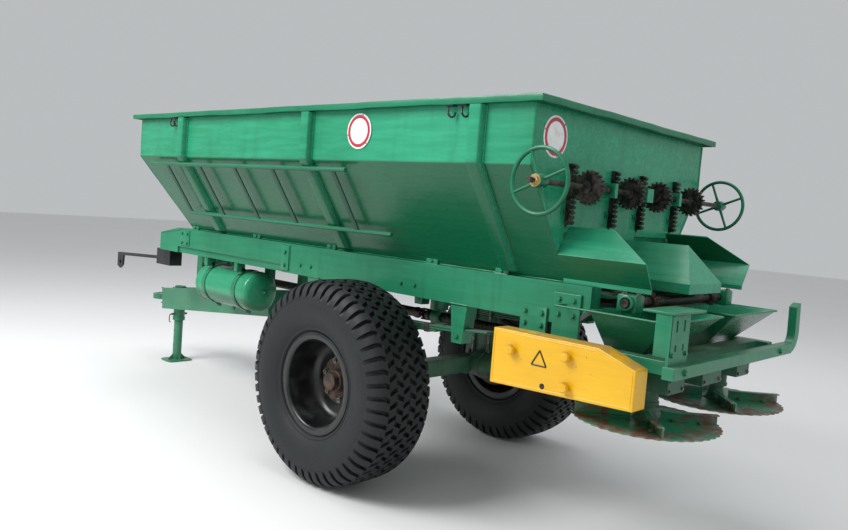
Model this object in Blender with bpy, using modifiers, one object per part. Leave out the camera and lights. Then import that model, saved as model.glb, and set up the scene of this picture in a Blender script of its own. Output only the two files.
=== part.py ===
"""Towed twin-disc manure and lime spreader, parked level on its jack.

Metres, +Z up, -Y towards the drawbar, +Y towards the spreading discs, +X the machine's left.
Every position below is measured from the ground under the axle; the empty called
machine_origin then carries the whole model to its place.
"""

import bpy
import bmesh
from math import copysign, cos, hypot, pi, radians, sin
from mathutils import Matrix, Vector

for old in list(bpy.data.objects):
    bpy.data.objects.remove(old, do_unlink=True)

# ---------------------------------------------------------------- driving dimensions

GAP = 0.0003                # play between pieces that touch

# wheels and axle
TYRE_RADIUS = 0.530
TYRE_WIDTH = 0.400
TRACK = 1.500
BEAD_RADIUS = 0.230
FLANGE_RADIUS = 0.262
BEAD_WIDTH = 0.301
FLANGE_THICKNESS = 0.010
BARREL_THICKNESS = 0.008
DRUM_RADIUS = 0.170
HUB_RADIUS = 0.090
HUB_INNER_REACH = 0.200     # from the wheel's middle towards the axle
STUB_RADIUS = 0.035
STUB_PLAY = 0.0015
AXLE_HALF_HEIGHT = 0.050
AXLE_HALF_LENGTH = 0.500
WHEEL_STEPS = 40

# main frame
BEAM_OUTER_X = 0.500
BEAM_WIDTH = 0.080
FRAME_BOTTOM = 1.000
FRAME_TOP = 1.180
FRAME_FRONT = -2.410
FRAME_REAR = 1.300
REAR_CHAMFER_LENGTH = 0.110
REAR_CHAMFER_HEIGHT = 0.085
FRONT_TAPER_LENGTH = 0.260
FRONT_TAPER_HEIGHT = 0.050
CROSS_MEMBER_HEIGHT = 0.080
MIDDLE_MEMBER_Y = (-0.040, 0.040)
REAR_MEMBER_Y = (1.110, 1.180)
STEP_FRONT = -2.150
STEP_REAR = -0.880
STEP_HEIGHT = 0.045
STEP_DEPTH = 0.015

# springs
SPRING_HALF_LENGTH = 0.750
SPRING_RISE = 0.030
SPRING_TOP = 0.865
SPRING_WIDTH = 0.060
LEAF = 0.012
LEAF_COUNT = 4
HANGER_Y = 0.570
HANGER_HALF_TOP = 0.055
HANGER_HALF_BOTTOM = 0.032
HANGER_DROP = 0.190

# hopper
HOPPER_TOP = 1.952
HOPPER_HALF_WIDTH = 0.800
CREASE_Z = 1.670
HOPPER_BOTTOM = FRAME_TOP + GAP
BOTTOM_HALF_WIDTH = BEAM_OUTER_X - 0.035
HOPPER_FRONT = -2.190
HOPPER_FRONT_BOTTOM = -2.000
HOPPER_REAR = 1.140
WALL = 0.005
RIM_HEIGHT = 0.030
RIM_OUT_SIDE = 0.040
RIM_OUT_END = 0.060
RIM_IN = 0.010
RIB_DEPTH = 0.035
RIB_WIDTH = 0.080
RIB_PLACES = (-1.610, -0.320, 0.850)

# bar rack on each slope
RACK_TOP_Z = 1.620
RACK_LOW_Z = 1.310
RACK_FRONT = -2.000
RACK_LOW_FRONT = -1.800
RACK_REAR = 0.020
RACK_ROD_RADIUS = 0.012
SLAT_PLACES = (-1.790, -1.390, -1.000, -0.620, -0.090)
SLAT_WIDTH = 0.030
SLAT_THICKNESS = 0.010

# gates, their racks and handwheels
GATE_INNER_X = 0.100
GATE_OUTER_X = BOTTOM_HALF_WIDTH + 0.065
GATE_BOTTOM = 1.190
GATE_TOP = 1.450
GATE_THICKNESS = 0.006
GATE_SIDE_PLAY = 0.012
GATE_TRAVEL = 0.200
DOORWAY_MARGIN = 0.020
DOORWAY_TOP = 1.400
TOOTHED_BAR_X = (GATE_INNER_X + 0.035, GATE_OUTER_X - 0.030)
TOOTHED_BAR_WIDTH = 0.030
TOOTHED_BAR_DEPTH = 0.025
TOOTHED_BAR_BOTTOM = 1.435
TOOTHED_BAR_TOP = 1.700
SLOT_WIDTH = 0.022
LUG_WIDTH = 0.010
LUG_HEIGHT = 0.030
SHAFT_Y = 1.240
SHAFT_Z = 1.600
SHAFT_RADIUS = 0.012
SHAFT_PLAY = 0.0006
PINION_RADIUS = 0.068
HANDWHEEL_X = 0.870
HANDWHEEL_RADIUS = 0.140
HANDWHEEL_RIM = 0.009
SHAFT_OUTER_REACH = 0.075
BEARING_X = 0.320

# discharge end
DISC_RADIUS = 0.310
DISC_X = DISC_RADIUS + 0.050
CHUTE_EDGE_X = 0.550
CHUTE_EDGE_Z = 1.305
CHUTE_TOP_X = 0.470
CHUTE_TOP_Z = 1.430
CHUTE_TOP_REACH = 0.220
CHUTE_EDGE_REACH = 0.420
CHUTE_SKIRT_X = BEAM_OUTER_X - 0.020
CHUTE_WALL = 0.006
DIVIDER_RIDGE_Z = 1.385
DIVIDER_RIDGE_REACH = 0.340
DIVIDER_BASE_REACH = 0.440
DIVIDER_HALF_WIDTH = 0.170
DIVIDER_EAVE_Z = 1.220
DIVIDER_BOTTOM = 1.175
CONVEYOR_BOTTOM = 1.100
CONVEYOR_TOP = 1.170
CONVEYOR_FRONT = -2.050
CONVEYOR_REAR = 1.500
CONVEYOR_SHAFT_RADIUS = 0.020
FUNNEL_TOP = 1.095
FUNNEL_BOTTOM = 0.860
FUNNEL_TOP_X = (0.060, 0.600)
FUNNEL_TOP_Y = (1.355, 1.700)
FUNNEL_LOW_X = (DISC_X - 0.140, min(DISC_X + 0.040, BEAM_OUTER_X - 0.100))
FUNNEL_LOW_Y = (1.370, 1.470)
FUNNEL_WALL = 0.005

# spreading gear
SPREADER_ARM_Z = (0.880, 0.940)
SPREADER_ARM_OUTER_X = 0.560
SPREADER_ARM_FRONT = 1.120
SPREADER_PLATE_Y = (1.120, 1.260)
BUMPER_Y = (1.705, 1.755)
BUMPER_LEFT_END = 0.625
BUMPER_RIGHT_END = -0.700
BUMPER_HEIGHT = 0.050
HORN_BEND = 0.100
HORN_TOP = 1.130
CROSSBEAM_Y = (1.570, 1.650)
REAR_POST_X = (0.450, 0.615)
REAR_POST_TOP = 1.138
POST_TOP_INNER_X = 0.330
POST_TOP_FRONT = 1.600
DISC_Y = 1.530
DISC_Z = 0.640
DISC_THICKNESS = 0.008
VANE_HEIGHT = 0.045
VANE_COUNT = 4
DISC_STEPS = 36
GEARBOX_BOTTOM = 0.780
GEARBOX_FRONT = 1.490
GEARBOX_HALF_WIDTH = min(0.075, BEAM_OUTER_X - DISC_X - 0.010)
DRIVE_Z = 0.830
DRIVE_RADIUS = 0.030
DRIVE_FRONT = -2.650

# chain guard on the left side
GUARD_X = (0.600, 0.700)
GUARD_FRONT = 0.950
GUARD_REAR = 1.640
GUARD_BOTTOM = 0.720
GUARD_REAR_BOTTOM = 0.745
GUARD_TOP = 0.965
GUARD_SLOPE_START = 1.470
GUARD_REAR_TOP = 0.905
GUARD_BRACKET_Y = (0.950, 1.090)

# drawbar, jack, air tank
DRAWBAR_REAR = Vector((0.150, -1.440, 0.705))
DRAWBAR_FRONT = Vector((0.085, -3.050, 0.527))
DRAWBAR_WIDTH = 0.060
DRAWBAR_HEIGHT = 0.175
HEAD_FRONT = -3.120
HEAD_REAR = -2.860
HEAD_Z = (0.470, 0.600)
EYE_Y = -3.285
EYE_OUTER = 0.065
EYE_INNER = 0.026
EYE_Z = (0.490, 0.535)
POST_Y = (-2.480, -2.412)
STRUT_FOOT = -2.200
JACK_Y = -2.960
JACK_TUBE_OUTER = 0.046
JACK_LEG_RADIUS = 0.036
JACK_PLAY = 0.0007
JACK_TUBE_Z = (0.350, 0.640)
JACK_LEG_TOP = 0.600
FOOT_SIZE = (0.220, 0.170, 0.012)
TANK_X = 0.355
TANK_Z = 0.812
TANK_RADIUS = 0.135
TANK_FRONT = -1.940
TANK_REAR = -1.260
STRAP_PLACES = (-1.790, -1.420)
ARM_X = 0.400
ARM_TIP = -3.290
ARM_Z = 0.885
ARM_REAR_Z = 0.930

# the machine's ends, and where its middle lies from the axle
FRONT_END = EYE_Y - EYE_OUTER
REAR_END = DISC_Y + DISC_RADIUS
ORIGIN_SHIFT = -(FRONT_END + REAR_END) / 2

AXLE_Z = TYRE_RADIUS
BEAM_INNER_X = BEAM_OUTER_X - BEAM_WIDTH
SPRING_X = BEAM_OUTER_X - BEAM_WIDTH / 2
WALL_TOP = HOPPER_TOP - RIM_HEIGHT - GAP

# ---------------------------------------------------------------- scene, paints, tools

machine = bpy.data.collections.new("manure_spreader")
helpers = bpy.data.collections.new("cutters")
bpy.context.scene.collection.children.link(machine)
bpy.context.scene.collection.children.link(helpers)

machine_origin = bpy.data.objects.new("machine_origin", None)
machine_origin.location.y = ORIGIN_SHIFT
machine.objects.link(machine_origin)


def paint(name, colour, roughness, metallic=0.0):
    """One Principled material."""
    made = bpy.data.materials.new(name)
    made.use_nodes = True
    shader = made.node_tree.nodes["Principled BSDF"]
    shader.inputs["Base Color"].default_value = (*colour, 1.0)
    shader.inputs["Roughness"].default_value = roughness
    shader.inputs["Metallic"].default_value = metallic
    return made


GREEN = paint("green_paint", (0.030, 0.330, 0.170), 0.40)
DARK_GREEN = paint("shaded_green_paint", (0.015, 0.140, 0.070), 0.50)
YELLOW = paint("yellow_paint", (0.950, 0.560, 0.020), 0.40)
BLACK = paint("black_paint", (0.012, 0.012, 0.014), 0.45)
RUBBER = paint("tyre_rubber", (0.030, 0.030, 0.032), 0.85)
STEEL = paint("bare_steel", (0.350, 0.350, 0.340), 0.40, 0.9)
CHAIN = paint("oiled_chain", (0.050, 0.045, 0.040), 0.55, 0.6)


def adopt(obj, coat):
    """Files a finished object under the machine and gives it its paint."""
    for owner in list(obj.users_collection):
        owner.objects.unlink(obj)
    machine.objects.link(obj)
    obj.parent = machine_origin
    obj.data.materials.clear()
    obj.data.materials.append(coat)
    return obj


def from_bmesh(name, shape, coat):
    mesh = bpy.data.meshes.new(name)
    shape.to_mesh(mesh)
    shape.free()
    return adopt(bpy.data.objects.new(name, mesh), coat)


def box(name, x, y, z, coat=GREEN):
    """A box from its low and high value on each axis."""
    shape = bmesh.new()
    size = Vector((abs(x[1] - x[0]), abs(y[1] - y[0]), abs(z[1] - z[0])))
    middle = Vector((x[0] + x[1], y[0] + y[1], z[0] + z[1])) / 2
    place = Matrix.Translation(middle) @ Matrix.Diagonal((*size, 1.0))
    bmesh.ops.create_cube(shape, size=1.0, matrix=place)
    return from_bmesh(name, shape, coat)


def bar(name, start, end, width, height, coat=GREEN):
    """A straight square bar between two points, its sides upright."""
    start, end = Vector(start), Vector(end)
    along = (end - start).normalized()
    across = along.cross(Vector((0, 0, 1))).normalized()
    upward = across.cross(along)
    turn = Matrix((across, along, upward)).transposed().to_4x4()
    size = Matrix.Diagonal((width, (end - start).length, height, 1.0))
    shape = bmesh.new()
    bmesh.ops.create_cube(shape, size=1.0, matrix=Matrix.Translation((start + end) / 2) @ turn @ size)
    return from_bmesh(name, shape, coat)


def rod(name, start, end, radius, coat=GREEN, sides=16):
    """A round bar between two points."""
    start, end = Vector(start), Vector(end)
    turn = (end - start).to_track_quat("Z", "Y").to_matrix().to_4x4()
    shape = bmesh.new()
    bmesh.ops.create_cone(shape, cap_ends=True, segments=sides, radius1=radius, radius2=radius,
                          depth=(end - start).length,
                          matrix=Matrix.Translation((start + end) / 2) @ turn)
    made = from_bmesh(name, shape, coat)
    made.data.shade_smooth()
    made.data.set_sharp_from_angle(angle=radians(40))
    return made


def hull(name, points, coat=GREEN):
    """The smallest solid around a few corner points."""
    shape = bmesh.new()
    corners = [shape.verts.new(point) for point in points]
    bmesh.ops.convex_hull(shape, input=corners)
    bmesh.ops.recalc_face_normals(shape, faces=shape.faces)
    return from_bmesh(name, shape, coat)


PLATE_TURNS = {
    "X": Matrix(((0, 0, 1), (1, 0, 0), (0, 1, 0))).to_4x4(),
    "Y": Matrix(((1, 0, 0), (0, 0, -1), (0, 1, 0))).to_4x4(),
    "Z": Matrix.Identity(4),
}


def plate(name, axis, outline, low, high, coat=GREEN, holes=()):
    """A flat outline with thickness along one axis.

    The outline's pairs are (y, z) for a plate across X, (x, z) across Y and (x, y) across Z.
    """
    curve = bpy.data.curves.new(name, "CURVE")
    curve.dimensions = "2D"
    curve.fill_mode = "BOTH"
    curve.extrude = (high - low) / 2
    for loop in (outline, *holes):
        spline = curve.splines.new("POLY")
        spline.points.add(len(loop) - 1)
        for point, (u, v) in zip(spline.points, loop):
            point.co = (u, v, 0.0, 1.0)
        spline.use_cyclic_u = True
    flat = bpy.data.objects.new(name + "_outline", curve)
    machine.objects.link(flat)
    turn = PLATE_TURNS[axis]
    flat.matrix_world = Matrix.Translation(Vector((turn.col[2].xyz * (low + high) / 2))
                                           * (-1 if axis == "Y" else 1)) @ turn
    bpy.context.view_layer.update()
    solid = bpy.data.meshes.new_from_object(flat.evaluated_get(bpy.context.evaluated_depsgraph_get()))
    solid.transform(flat.matrix_world)
    bpy.data.objects.remove(flat)
    shape = bmesh.new()
    shape.from_mesh(solid)
    bmesh.ops.remove_doubles(shape, verts=shape.verts, dist=1e-5)
    bmesh.ops.recalc_face_normals(shape, faces=shape.faces)
    return from_bmesh(name, shape, coat)


def turned(name, profile, centre, direction, coat, steps, ring=False):
    """A profile of (radius, height) pairs, its outer side first, turned about an axis."""
    mesh = bpy.data.meshes.new(name)
    edges = [(i, i + 1) for i in range(len(profile) - 1)]
    if ring:
        edges.append((len(profile) - 1, 0))
    mesh.from_pydata([(radius, 0.0, height) for radius, height in profile], edges, [])
    made = adopt(bpy.data.objects.new(name, mesh), coat)
    made.location = centre
    made.rotation_euler = Vector(direction).to_track_quat("Z", "Y").to_euler()
    screw = made.modifiers.new("turn", "SCREW")
    screw.steps = screw.render_steps = steps
    screw.use_merge_vertices = True
    screw.merge_threshold = 0.0001
    screw.use_smooth_shade = True
    return made


def joined(target, *pieces):
    """Welds pieces to a target, which keeps its name."""
    for piece in pieces:
        use_as_operand(target, piece, "UNION")
    return target


def cut(target, *cutters):
    """Takes the cutters' shapes out of a target."""
    for cutter in cutters:
        use_as_operand(target, cutter, "DIFFERENCE")
    return target


def use_as_operand(target, operand, operation):
    if operand.name in machine.objects:
        machine.objects.unlink(operand)
        helpers.objects.link(operand)
    operand.hide_render = True
    operand.display_type = "WIRE"
    step = target.modifiers.new(operation.lower(), "BOOLEAN")
    step.operation = operation
    step.solver = "EXACT"
    step.object = operand
    return target


def pivot_at(obj, point):
    """Moves an object's origin to its joint's axis and leaves its shape in place."""
    obj.data.transform(Matrix.Translation(-Vector(point)))
    obj.location = point
    return obj


def circle(middle, radius, sides=24):
    """The corners of a round outline."""
    return [(middle[0] + radius * cos(2 * pi * i / sides), middle[1] + radius * sin(2 * pi * i / sides))
            for i in range(sides)]


def both(pair, side):
    """A pair of x values for the left (1) or right (-1) side, low value first."""
    return tuple(sorted((side * pair[0], side * pair[1])))


SIDES = (("left", 1), ("right", -1))

# ---------------------------------------------------------------- wheels and axle


def tyre_profile():
    """The tyre's section, from its outer tread round to its bead."""
    half, bead = TYRE_WIDTH / 2, BEAD_WIDTH / 2 - GAP
    upper = [(TYRE_RADIUS, half * 0.50), (TYRE_RADIUS - 0.010, half * 0.74), (TYRE_RADIUS - 0.032, half * 0.89),
             (TYRE_RADIUS - 0.080, half * 0.98), (TYRE_RADIUS - 0.140, half), (TYRE_RADIUS - 0.200, half * 0.95),
             (FLANGE_RADIUS + 0.023, half * 0.86), (FLANGE_RADIUS + 0.004, bead), (BEAD_RADIUS + GAP, bead)]
    lower = [(radius, -height) for radius, height in upper]
    return [*reversed(upper), *lower]


def rim_profile():
    """The rim with its dish, brake drum and hub, from the hub cap round to the blind bore."""
    bead = BEAD_WIDTH / 2
    lip = bead + FLANGE_THICKNESS
    well = BEAD_RADIUS - BARREL_THICKNESS
    bore = STUB_RADIUS + STUB_PLAY
    drum_end = HUB_INNER_REACH - 0.015
    return [(0.0, 0.065), (0.045, 0.065), (0.056, 0.054), (0.056, -0.006), (0.185, -0.014), (well, 0.004),
            (well, lip), (FLANGE_RADIUS, lip), (FLANGE_RADIUS, bead), (BEAD_RADIUS, bead),
            (BEAD_RADIUS, -bead), (FLANGE_RADIUS, -bead), (FLANGE_RADIUS, -lip), (well, -lip),
            (well, -0.028), (DRUM_RADIUS, -0.034), (DRUM_RADIUS, -drum_end), (HUB_RADIUS, -drum_end),
            (HUB_RADIUS, -HUB_INNER_REACH), (bore, -HUB_INNER_REACH), (bore, 0.030), (0.0, 0.030)]


for word, side in SIDES:
    wheel_centre = (side * TRACK / 2, 0, AXLE_Z)
    turned("tyre_" + word, tyre_profile(), wheel_centre, (side, 0, 0), RUBBER, WHEEL_STEPS, ring=True)
    turned("rim_" + word, rim_profile(), wheel_centre, (side, 0, 0), BLACK, WHEEL_STEPS)


def spring_top(y):
    """Height of the spring's top face, lowest over the axle."""
    return SPRING_TOP + SPRING_RISE * (y / SPRING_HALF_LENGTH) ** 2


def spring_outline(play=0.0):
    """A leaf pack seen from the side: one curved top face and stepped ends below."""
    steps = 10
    reach = [SPRING_HALF_LENGTH * (2 * i / steps - 1) for i in range(steps + 1)]
    top = [(y, spring_top(y) + play) for y in reach]
    under = []
    for leaf in range(1, LEAF_COUNT + 1):
        end = SPRING_HALF_LENGTH * (1 - 0.22 * (leaf - 1))
        depth = leaf * LEAF + play
        inner = SPRING_HALF_LENGTH * (1 - 0.22 * leaf) if leaf < LEAF_COUNT else 0.0
        under += [(end, spring_top(end) - depth), (inner, spring_top(inner) - depth)]
    mirrored = [(-y, z) for y, z in reversed(under[:-1])]
    return top + under + mirrored


axle = box("axle", (-AXLE_HALF_LENGTH, AXLE_HALF_LENGTH), (-AXLE_HALF_HEIGHT, AXLE_HALF_HEIGHT),
           (AXLE_Z - AXLE_HALF_HEIGHT, AXLE_Z + AXLE_HALF_HEIGHT), DARK_GREEN)
for word, side in SIDES:
    hub_face = TRACK / 2 - HUB_INNER_REACH - GAP
    spring_foot = spring_top(0) - LEAF_COUNT * LEAF - GAP
    joined(axle,
           rod("axle_collar", (side * (AXLE_HALF_LENGTH - 0.02), 0, AXLE_Z), (side * hub_face, 0, AXLE_Z), 0.060),
           rod("axle_stub", (side * (hub_face - 0.02), 0, AXLE_Z), (side * (TRACK / 2 + 0.020), 0, AXLE_Z),
               STUB_RADIUS, sides=24),
           box("spring_saddle", both((SPRING_X - 0.030, SPRING_X + 0.030), side), (-0.070, 0.070),
               (AXLE_Z, spring_foot)),
           rod("brake_chamber", (side * 0.340, 0.020, AXLE_Z), (side * 0.340, 0.210, AXLE_Z), 0.078))
    plate("leaf_spring_" + word, "X", spring_outline(),
          side * SPRING_X - SPRING_WIDTH / 2, side * SPRING_X + SPRING_WIDTH / 2, DARK_GREEN)

# ---------------------------------------------------------------- main frame


def frame_beam(word, side):
    """A side beam with its two spring hangers."""
    name = "frame_beam_" + word
    x_low, x_high = both((BEAM_INNER_X, BEAM_OUTER_X), side)
    outline = [(FRAME_FRONT, FRAME_BOTTOM), (FRAME_REAR - REAR_CHAMFER_LENGTH, FRAME_BOTTOM),
               (FRAME_REAR, FRAME_BOTTOM + REAR_CHAMFER_HEIGHT), (FRAME_REAR, FRAME_TOP),
               (FRAME_FRONT + FRONT_TAPER_LENGTH, FRAME_TOP), (FRAME_FRONT, FRAME_TOP - FRONT_TAPER_HEIGHT)]
    beam = plate(name, "X", outline, x_low, x_high)
    cut(beam, box(name + "_step", both((BEAM_OUTER_X - STEP_DEPTH, BEAM_OUTER_X + 0.01), side),
                  (STEP_FRONT, STEP_REAR), (FRAME_BOTTOM - 0.01, FRAME_BOTTOM + STEP_HEIGHT)))
    for end in (-1, 1):
        foot = FRAME_BOTTOM - HANGER_DROP
        hanger = [(end * HANGER_Y - HANGER_HALF_TOP, FRAME_BOTTOM + 0.03),
                  (end * HANGER_Y - HANGER_HALF_BOTTOM, foot),
                  (end * HANGER_Y + HANGER_HALF_BOTTOM, foot),
                  (end * HANGER_Y + HANGER_HALF_TOP, FRAME_BOTTOM + 0.03)]
        joined(beam, plate(name + "_hanger", "X", hanger, x_low + 0.001, x_high - 0.001))
    slot = plate(name + "_spring_way", "X", spring_outline(GAP),
                 side * SPRING_X - SPRING_WIDTH / 2 - GAP, side * SPRING_X + SPRING_WIDTH / 2 + GAP)
    return cut(beam, slot)


left_beam = frame_beam("left", 1)
frame_beam("right", -1)

# the chain guard hangs on a plate bolted to the left beam
joined(left_beam,
       box("guard_plate", (BEAM_OUTER_X - 0.001, BEAM_OUTER_X + 0.012), GUARD_BRACKET_Y,
           (GUARD_TOP - 0.060, FRAME_BOTTOM + 0.060)),
       box("guard_standoff", (BEAM_OUTER_X - 0.001, GUARD_X[0] - GAP), GUARD_BRACKET_Y,
           (GUARD_TOP - 0.075, GUARD_TOP - 0.025)))

between_beams = (-BEAM_INNER_X + GAP, BEAM_INNER_X - GAP)
low_member = (FRAME_BOTTOM, FRAME_BOTTOM + CROSS_MEMBER_HEIGHT)
box("cross_member_front", between_beams, (FRAME_FRONT, FRAME_FRONT + 0.080),
    (FRAME_BOTTOM, FRAME_TOP - FRONT_TAPER_HEIGHT))
box("cross_member_drawbar", between_beams, (DRAWBAR_REAR.y - 0.090, DRAWBAR_REAR.y - 0.010), low_member)
box("cross_member_middle", between_beams, MIDDLE_MEMBER_Y, low_member)
box("cross_member_rear", between_beams, REAR_MEMBER_Y, low_member)

# ---------------------------------------------------------------- drawbar, jack, air tank


def drawbar_x(y):
    """Middle of a drawbar beam, which closes in towards the hitch."""
    run = (y - DRAWBAR_FRONT.y) / (DRAWBAR_REAR.y - DRAWBAR_FRONT.y)
    return DRAWBAR_FRONT.x + run * (DRAWBAR_REAR.x - DRAWBAR_FRONT.x)


def drawbar_z(y):
    """Middle height of a drawbar beam."""
    run = (y - DRAWBAR_FRONT.y) / (DRAWBAR_REAR.y - DRAWBAR_FRONT.y)
    return DRAWBAR_FRONT.z + run * (DRAWBAR_REAR.z - DRAWBAR_FRONT.z)


lean = (DRAWBAR_REAR.x - DRAWBAR_FRONT.x) / (DRAWBAR_REAR.y - DRAWBAR_FRONT.y)
half_across = DRAWBAR_WIDTH / 2 * hypot(1, lean)

for word, side in SIDES:
    name = "drawbar_beam_" + word
    mirror = Vector((side, 1, 1))
    beam = bar(name, DRAWBAR_FRONT * mirror, DRAWBAR_REAR * mirror, DRAWBAR_WIDTH, DRAWBAR_HEIGHT)
    post_x = drawbar_x(sum(POST_Y) / 2)
    joined(beam,
           box(name + "_post", both((post_x - 0.025, post_x + 0.025), side), POST_Y,
               (drawbar_z(POST_Y[0]), FRAME_TOP - 0.020)),
           box(name + "_post_foot", both((post_x - 0.025, post_x + 0.025), side),
               (POST_Y[0], FRAME_FRONT - GAP), (FRAME_BOTTOM, FRAME_TOP - 0.020)),
           box(name + "_rear_post", both((DRAWBAR_REAR.x - 0.028, DRAWBAR_REAR.x + 0.022), side),
               (DRAWBAR_REAR.y - 0.080, DRAWBAR_REAR.y - 0.020), (DRAWBAR_REAR.z, FRAME_BOTTOM - GAP)),
           bar(name + "_strut", (side * (post_x + 0.005), POST_Y[1] - 0.01, FRAME_BOTTOM - 0.040),
               (side * drawbar_x(STRUT_FOOT), STRUT_FOOT, drawbar_z(STRUT_FOOT) + 0.040), 0.030, 0.040))


def inner_face(y):
    """Half the gap between the drawbar beams."""
    return drawbar_x(y) - half_across - GAP


head = plate("drawbar_head", "Z",
             [(-inner_face(HEAD_FRONT) + 0.004, HEAD_FRONT), (inner_face(HEAD_FRONT) - 0.004, HEAD_FRONT),
              (inner_face(HEAD_REAR), HEAD_REAR), (-inner_face(HEAD_REAR), HEAD_REAR)],
             *HEAD_Z, holes=[circle((0, JACK_Y), JACK_TUBE_OUTER + GAP)])
tongue = box("hitch_tongue", (-0.030, 0.030), (EYE_Y + 0.045, HEAD_FRONT + 0.020), EYE_Z)
ring = plate("hitch_ring", "Z", circle((0, EYE_Y), EYE_OUTER), *EYE_Z, holes=[circle((0, EYE_Y), EYE_INNER)])
joined(head, tongue, ring)

plate("jack_tube", "Z", circle((0, JACK_Y), JACK_TUBE_OUTER), *JACK_TUBE_Z,
      holes=[circle((0, JACK_Y), JACK_LEG_RADIUS + JACK_PLAY)])
foot = box("jack_leg", (-FOOT_SIZE[0] / 2, FOOT_SIZE[0] / 2),
           (JACK_Y - FOOT_SIZE[1] / 2, JACK_Y + FOOT_SIZE[1] / 2), (0.0, FOOT_SIZE[2]))
joined(foot, rod("jack_leg_tube", (0, JACK_Y, FOOT_SIZE[2] / 2), (0, JACK_Y, JACK_LEG_TOP), JACK_LEG_RADIUS,
                 sides=24))
pivot_at(foot, (0, JACK_Y, 0))

crown = 0.050
tank = turned("air_tank",
              [(0.0, TANK_REAR - TANK_FRONT), (0.070, TANK_REAR - TANK_FRONT - 0.012),
               (0.115, TANK_REAR - TANK_FRONT - 0.030), (TANK_RADIUS, TANK_REAR - TANK_FRONT - crown),
               (TANK_RADIUS, crown), (0.115, 0.030), (0.070, 0.012), (0.0, 0.0)],
              (TANK_X, TANK_FRONT, TANK_Z), (0, 1, 0), GREEN, 28)
for place in STRAP_PLACES:
    joined(tank,
           rod("tank_strap", (TANK_X, place - 0.020, TANK_Z), (TANK_X, place + 0.020, TANK_Z),
               TANK_RADIUS + 0.006, sides=28),
           box("tank_hanger", (TANK_X + 0.060, BEAM_OUTER_X - 0.020), (place - 0.020, place + 0.020),
               (FRAME_BOTTOM - 0.060, FRAME_BOTTOM - GAP)),
           box("tank_ear", (TANK_X + 0.060, TANK_X + 0.090), (place - 0.020, place + 0.020),
               (TANK_Z + 0.060, FRAME_BOTTOM - 0.030)))

ear = [(ARM_TIP, ARM_Z + 0.010), (ARM_TIP, ARM_Z - 0.100), (ARM_TIP + 0.050, ARM_Z - 0.120),
       (ARM_TIP + 0.090, ARM_Z - 0.090), (ARM_TIP + 0.100, ARM_Z + 0.010)]
arm = plate("front_support_arm", "X", ear, ARM_X - 0.008, ARM_X + 0.008, BLACK,
            holes=[circle((ARM_TIP + 0.050, ARM_Z - 0.065), 0.016, 12)])
joined(arm,
       bar("arm_bar", (ARM_X, ARM_TIP + 0.020, ARM_Z), (ARM_X, FRAME_FRONT, ARM_REAR_Z), 0.028, 0.024),
       box("arm_block", (ARM_X - 0.040, ARM_X + 0.060), (FRAME_FRONT - 0.120, FRAME_FRONT + 0.080),
           (ARM_Z - 0.005, FRAME_BOTTOM - GAP)))

# ---------------------------------------------------------------- hopper


def slope_x(z):
    """Outer half width of the hopper: upright above the crease, sloping in below it."""
    if z >= CREASE_Z:
        return HOPPER_HALF_WIDTH
    share = (z - HOPPER_BOTTOM) / (CREASE_Z - HOPPER_BOTTOM)
    return BOTTOM_HALF_WIDTH + share * (HOPPER_HALF_WIDTH - BOTTOM_HALF_WIDTH)


def side_outline(outer, inner, top, bottom, crease=CREASE_Z):
    """The bent section of a side, between two offsets from the hopper's outer face."""
    heights = (top, crease, bottom)
    return [(slope_x(z) + outer, z) for z in heights] + [(slope_x(z) + inner, z) for z in reversed(heights)]


def mirrored_pairs(outline, side):
    return [(side * u, v) for u, v in outline]


def end_wall(name, corners):
    """An end wall from its outer (y, z) corners, its side edges following the side panels."""
    outline = list(corners) + [(y + (WALL if y < 0 else -WALL), z) for y, z in reversed(corners)]
    wall = plate(name, "X", outline, -HOPPER_HALF_WIDTH, HOPPER_HALF_WIDTH)
    for corner in wall.data.vertices:
        corner.co.x = copysign(slope_x(corner.co.z) - WALL - GAP, corner.co.x)
    return wall


for word, side in SIDES:
    name = "hopper_side_" + word
    panel = plate(name, "Y", mirrored_pairs(side_outline(0, -WALL, WALL_TOP, HOPPER_BOTTOM), side),
                  HOPPER_FRONT - 0.020, HOPPER_REAR)
    ahead = [(HOPPER_FRONT - 0.1, WALL_TOP + 0.01), (HOPPER_FRONT, WALL_TOP + 0.01), (HOPPER_FRONT, CREASE_Z),
             (HOPPER_FRONT_BOTTOM, HOPPER_BOTTOM), (HOPPER_FRONT_BOTTOM, HOPPER_BOTTOM - 0.01),
             (HOPPER_FRONT - 0.1, HOPPER_BOTTOM - 0.01)]
    cut(panel, plate(name + "_front_cut", "X", ahead, *both((0.3, 0.9), side)))
    for place in RIB_PLACES:
        rib = side_outline(RIB_DEPTH, -WALL / 2, WALL_TOP - 0.002, HOPPER_BOTTOM + 0.020)
        joined(panel, plate(name + "_rib", "Y", mirrored_pairs(rib, side),
                            place - RIB_WIDTH / 2, place + RIB_WIDTH / 2))

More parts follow.
